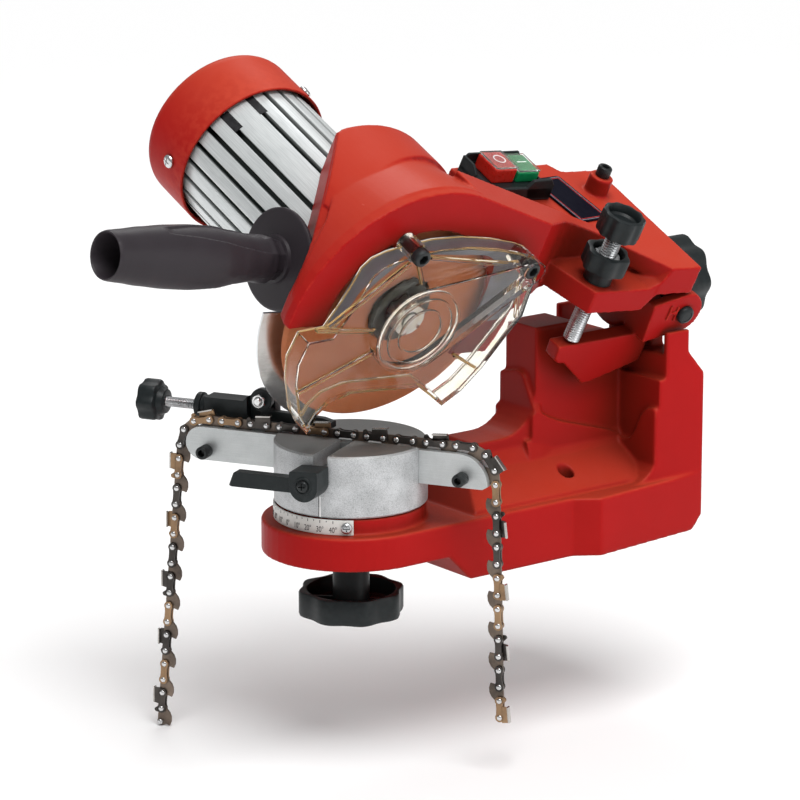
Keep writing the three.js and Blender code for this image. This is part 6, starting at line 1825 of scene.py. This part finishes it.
@dataclass
class WheelSet:
    """Grinding wheel, flanges, nut and both guards."""

    radius: float = 72.5
    middle: float = 8.75
    thick: float = 4.0
    bore: float = 11.0
    guard_reach: float = 77.4
    rib_reach: float = 78.0
    edge_a: float = 19.3
    rib_a: float = 28.9
    screw_a: float = 30.3
    boss_y: float = -3.0
    boss_c: float = 2.0
    boss_face: float = 37.0
    screws: Sequence[Point] = ((-20.0, 48.3), (64.4, 36.0))
    outline: Sequence[Point] = (
        (-0.94, -0.28), (-0.92, -0.08), (-0.71, -0.05), (-0.64, 0.16), (-0.6, 0.32), (-0.58, 0.43),
        (-0.52, 0.51), (-0.41, 0.56), (-0.29, 0.59), (-0.04, 0.64), (0.23, 0.65), (0.52, 0.62),
        (0.73, 0.58), (0.86, 0.54), (0.94, 0.45), (0.96, 0.26), (0.98, 0.03), (0.91, -0.13),
        (0.8, -0.41), (0.69, -0.6), (0.56, -0.72), (0.37, -0.6), (0.27, -0.54), (-0.08, -0.54),
        (-0.35, -0.55), (-0.51, -0.61), (-0.58, -0.71), (-0.61, -0.87), (-0.74, -0.73), (-0.88, -0.46))
    ribs: Sequence[tuple[Point, Point]] = (
        ((-0.23, 0.55), (-0.1, 0.35)), ((-0.3, 0.55), (-0.82, 0.03)), ((-0.9, 0.03), (-0.35, -0.01)),
        ((-0.85, -0.49), (-0.32, -0.19)), ((0.8, 0.33), (0.91, 0.03)), ((0.47, -0.27), (0.73, -0.4)),
        ((-0.13, 0.59), (0.72, 0.49)))

    def build(self) -> None:
        """Builds the wheel and what holds and covers it."""
        self.wheel()
        at = AXIS @ ALONG_X
        inner = Blank().turned([(5.1, 2.75), (19.4, 2.75), (20, 3.3), (20, 6.0), (19.6, 6.4),
                                (10.7, 6.45), (10.7, 8.4), (5.1, 8.4)], at, 72, True)
        piece("inner_flange_disc", inner, ZINC, "rotor", ("inner_flange",))
        outer = Blank().turned([(5.1, 11.1), (19.6, 11.1), (20, 11.6), (20, 13.2), (18.5, 14.6),
                                (12.5, 15.0), (5.1, 15.0)], at, 72, True)
        piece("outer_flange_disc", outer, SCREW_BLACK, "rotor", ("outer_flange",))
        flats = hexagon(9.5)
        nut = Blank().turned([(5.1, 15.4), (hexagon(9.3), 15.4), (flats, 16.0), (flats, 22.4),
                              (9.4, 23.3), (5.6, 23.3), (5.1, 22.8)], at, 72, True)
        piece("hexagon_spindle_nut", nut, ZINC, "rotor", ("spindle_nut",))
        self.guards()

    def wheel(self) -> None:
        """Makes the grinding wheel with its dressed rim."""
        front, back = self.middle + self.thick / 2, self.middle - self.thick / 2
        wheel = Blank().turned([
            (self.bore, back), (self.radius - 1.5, back), (self.radius - 0.3, back + 1.1),
            (self.radius, self.middle), (self.radius - 0.3, front - 1.1), (self.radius - 1.5, front),
            (self.bore, front)], AXIS @ ALONG_X, 128, True)
        piece("grit_wheel", wheel, GRIT, "rotor", ("grinding_wheel",))

    def guards(self) -> None:
        """Makes the steel guard behind and the clear guard in front."""
        piece("rear_guard_plate", carried("rear_guard"), GUARD_STEEL, "arm", ("rear_guard",), 0.3)
        screw = PanScrew(2.0, 5.5).blank(AXIS @ shift(1.8, -54, 3) @ turn(90, "Y"))
        piece("rear_guard_cross_screw", screw, PIN_BRIGHT, "arm", ("rear_guard_screw",))
        shell = carried("clear_guard")
        centre = AXIS @ shift(0, self.boss_y, self.boss_c) @ ALONG_X
        top = self.boss_face
        for outer, high in ((21.5, 1.1), (14.5, 0.9)):
            shell.turned([(outer - 1.5, top - 0.3), (outer, top - 0.3), (outer - 0.3, top + high),
                          (outer - 1.2, top + high)], centre, 72, True)
        shell.turned([(24.4, top - 2.0), (26.2, top - 2.0), (26.0, top + 0.5), (24.8, top + 0.5)],
                     centre, 72, True)
        piece("clear_wheel_guard", shell, GUARD, "arm", ("clear_guard",), 0.55)
        self.edges()
        for name, (y, c) in zip(("upper", "rear"), self.screws):
            at = AXIS @ shift(self.screw_a, y, c) @ turn(90, "Y")
            piece(f"guard_socket_screw_{name}", SocketScrew(3.0, 5.4, 15.0).blank(at), SCREW_BLACK,
                  "arm", (f"guard_screw_{name}",))

    def edges(self) -> None:
        """Makes painted light along the guard's edges and ribs: thin rods, warm above, pale below."""
        warm, pale = Blank(), Blank()
        loop = [(self.edge_a, y * self.guard_reach, c * self.guard_reach) for y, c in self.outline]
        pale_from, pale_to = 15, 20
        # Painted light: warm rods along the upper edges and ribs, pale rods along the lower right
        # edge.
        warm.swept(loop[pale_to:] + loop[:pale_from + 1], 0.6, AXIS, 8)
        pale.swept(loop[pale_from:pale_to + 1], 0.5, AXIS, 8)
        for rib in self.ribs:
            ends = [(self.rib_a, y * self.rib_reach, c * self.rib_reach) for y, c in rib]
            warm.swept(ends, 0.75, AXIS, 8)
        piece("guard_warm_edge_light", warm, WARM_EDGE_LIGHT, "arm")
        piece("guard_pale_edge_light", pale, PALE_EDGE_LIGHT, "arm")


@dataclass
class SideHandle:
    """The side handle with its flange, finger hollows and open end."""

    a: float = -23.5
    forward: float = 61.0
    up: float = 11.0
    rise: float = 4.0
    length: float = 120.0
    flange: float = 28.0
    end: float = 13.0
    grip_from: float = 0.055
    steps: int = 96
    sunk: float = 1.0
    stops: Sequence[Point] = (
        (0.03, 11.6), (0.08, 11.6), (0.11, 13.4), (0.2, 13.6), (0.3, 15.0), (0.42, 17.0),
        (0.55, 17.4), (0.68, 16.9), (0.82, 15.6), (0.93, 14.1), (0.985, 13.5), (1.0, 12.9))

    def reach(self, share: float) -> float:
        """Returns the handle's radius at a share of its length.

        Args:
            share: The share of the length.

        Returns:
            The radius in millimetres.
        """
        for (s0, r0), (s1, r1) in zip(self.stops, self.stops[1:]):
            if share <= s1:
                t = max(0.0, (share - s0) / (s1 - s0))
                smooth = t * t * (3 - 2 * t)
                return r0 + (r1 - r0) * (0.5 * t + 0.5 * smooth)
        return self.stops[-1][1]

    def panel(self, share: float, angle: float, middle: float, border: float, ends: Point) -> float:
        """Returns how far a sunk panel reaches into the grip at a share and an angle.

        Args:
            share: The share of the handle's length.
            angle: The angle round the handle, in radians.
            middle: The angle of the panel's middle, in degrees.
            border: Half of the panel's width there, in degrees.
            ends: The shares at which the panel begins and ends.

        Returns:
            The depth in millimetres.
        """
        away = abs((math.degrees(angle) - middle + 180) % 360 - 180)
        inside = min(1.0, max(0.0, (border - away) / 4.0))
        along = min(1.0, max(0.0, min(share - ends[0], ends[1] - share) / 0.03))
        return self.sunk * inside * inside * (3 - 2 * inside) * along

    def hollow(self, share: float, angle: float) -> float:
        """Returns how deep the grip is hollowed at a share and an angle.

        Args:
            share: The share of the handle's length.
            angle: The angle round it, in radians.

        Returns:
            The depth in millimetres.
        """
        upper = 45 - 60 * (share - 0.15)
        lower = 70 - 85 * (share - 0.2)
        depth = self.panel(share, angle, 90.0, upper, (0.12, 0.72))
        depth += self.panel(share, angle, -90.0, lower, (0.14, 0.94))
        flat = 1 - math.cos(math.pi / 8) / math.cos(angle % (math.pi / 4) - math.pi / 8)
        return depth + flat * 9.0 * min(1.0, max(0.0, (0.15 - share) / 0.02))

    def build(self) -> None:
        """Builds the handle and leaves its stud in place."""
        at = AXIS @ shift(self.a, -self.forward, self.up) @ turn(90 - self.rise, "X")
        profile: list[tuple[Radius, float]] = [
            (5.4, 0), (self.flange - 1.0, 0), (self.flange, 0.8), (self.flange, 2.2),
            (self.flange - 0.6, 2.9), (self.flange - 1.8, 3.1), (14.8, 4.2), (13.4, 4.4),
            (12.8, 6.0)]
        for k in range(self.steps + 1):
            share = self.grip_from + (1.0 - self.grip_from) * k / self.steps
            profile.append((lambda angle, s=share: self.reach(s) - self.hollow(s, angle),
                            share * self.length))
        profile += [(self.end * 0.95, self.length + 0.1), (self.end * 0.9, self.length - 0.8),
                    (self.end * 0.88, self.length * 0.37), (5.4, self.length * 0.35)]
        grip = Blank().turned(profile, at, 168, True)
        piece("handle_grip", grip, GRIP, "arm", ("side_handle",), 0.0, 40)
        dress(ZINC, "handle_stud")


def main() -> None:
    """Builds the whole picture."""
    logging.basicConfig(level=logging.INFO, format="%(name)s: %(message)s")
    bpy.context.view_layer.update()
    for assembly in (Studio(), BenchCasting(), Vice(), WorkStop(), SawChain(), TiltJoint(),
                     ArmCasting(), DepthStop(), SwitchBox(), Motor(), WheelSet(), SideHandle()):
        LOG.info("building %s", type(assembly).__name__)
        assembly.build()


if __name__ == "__main__":
    main()
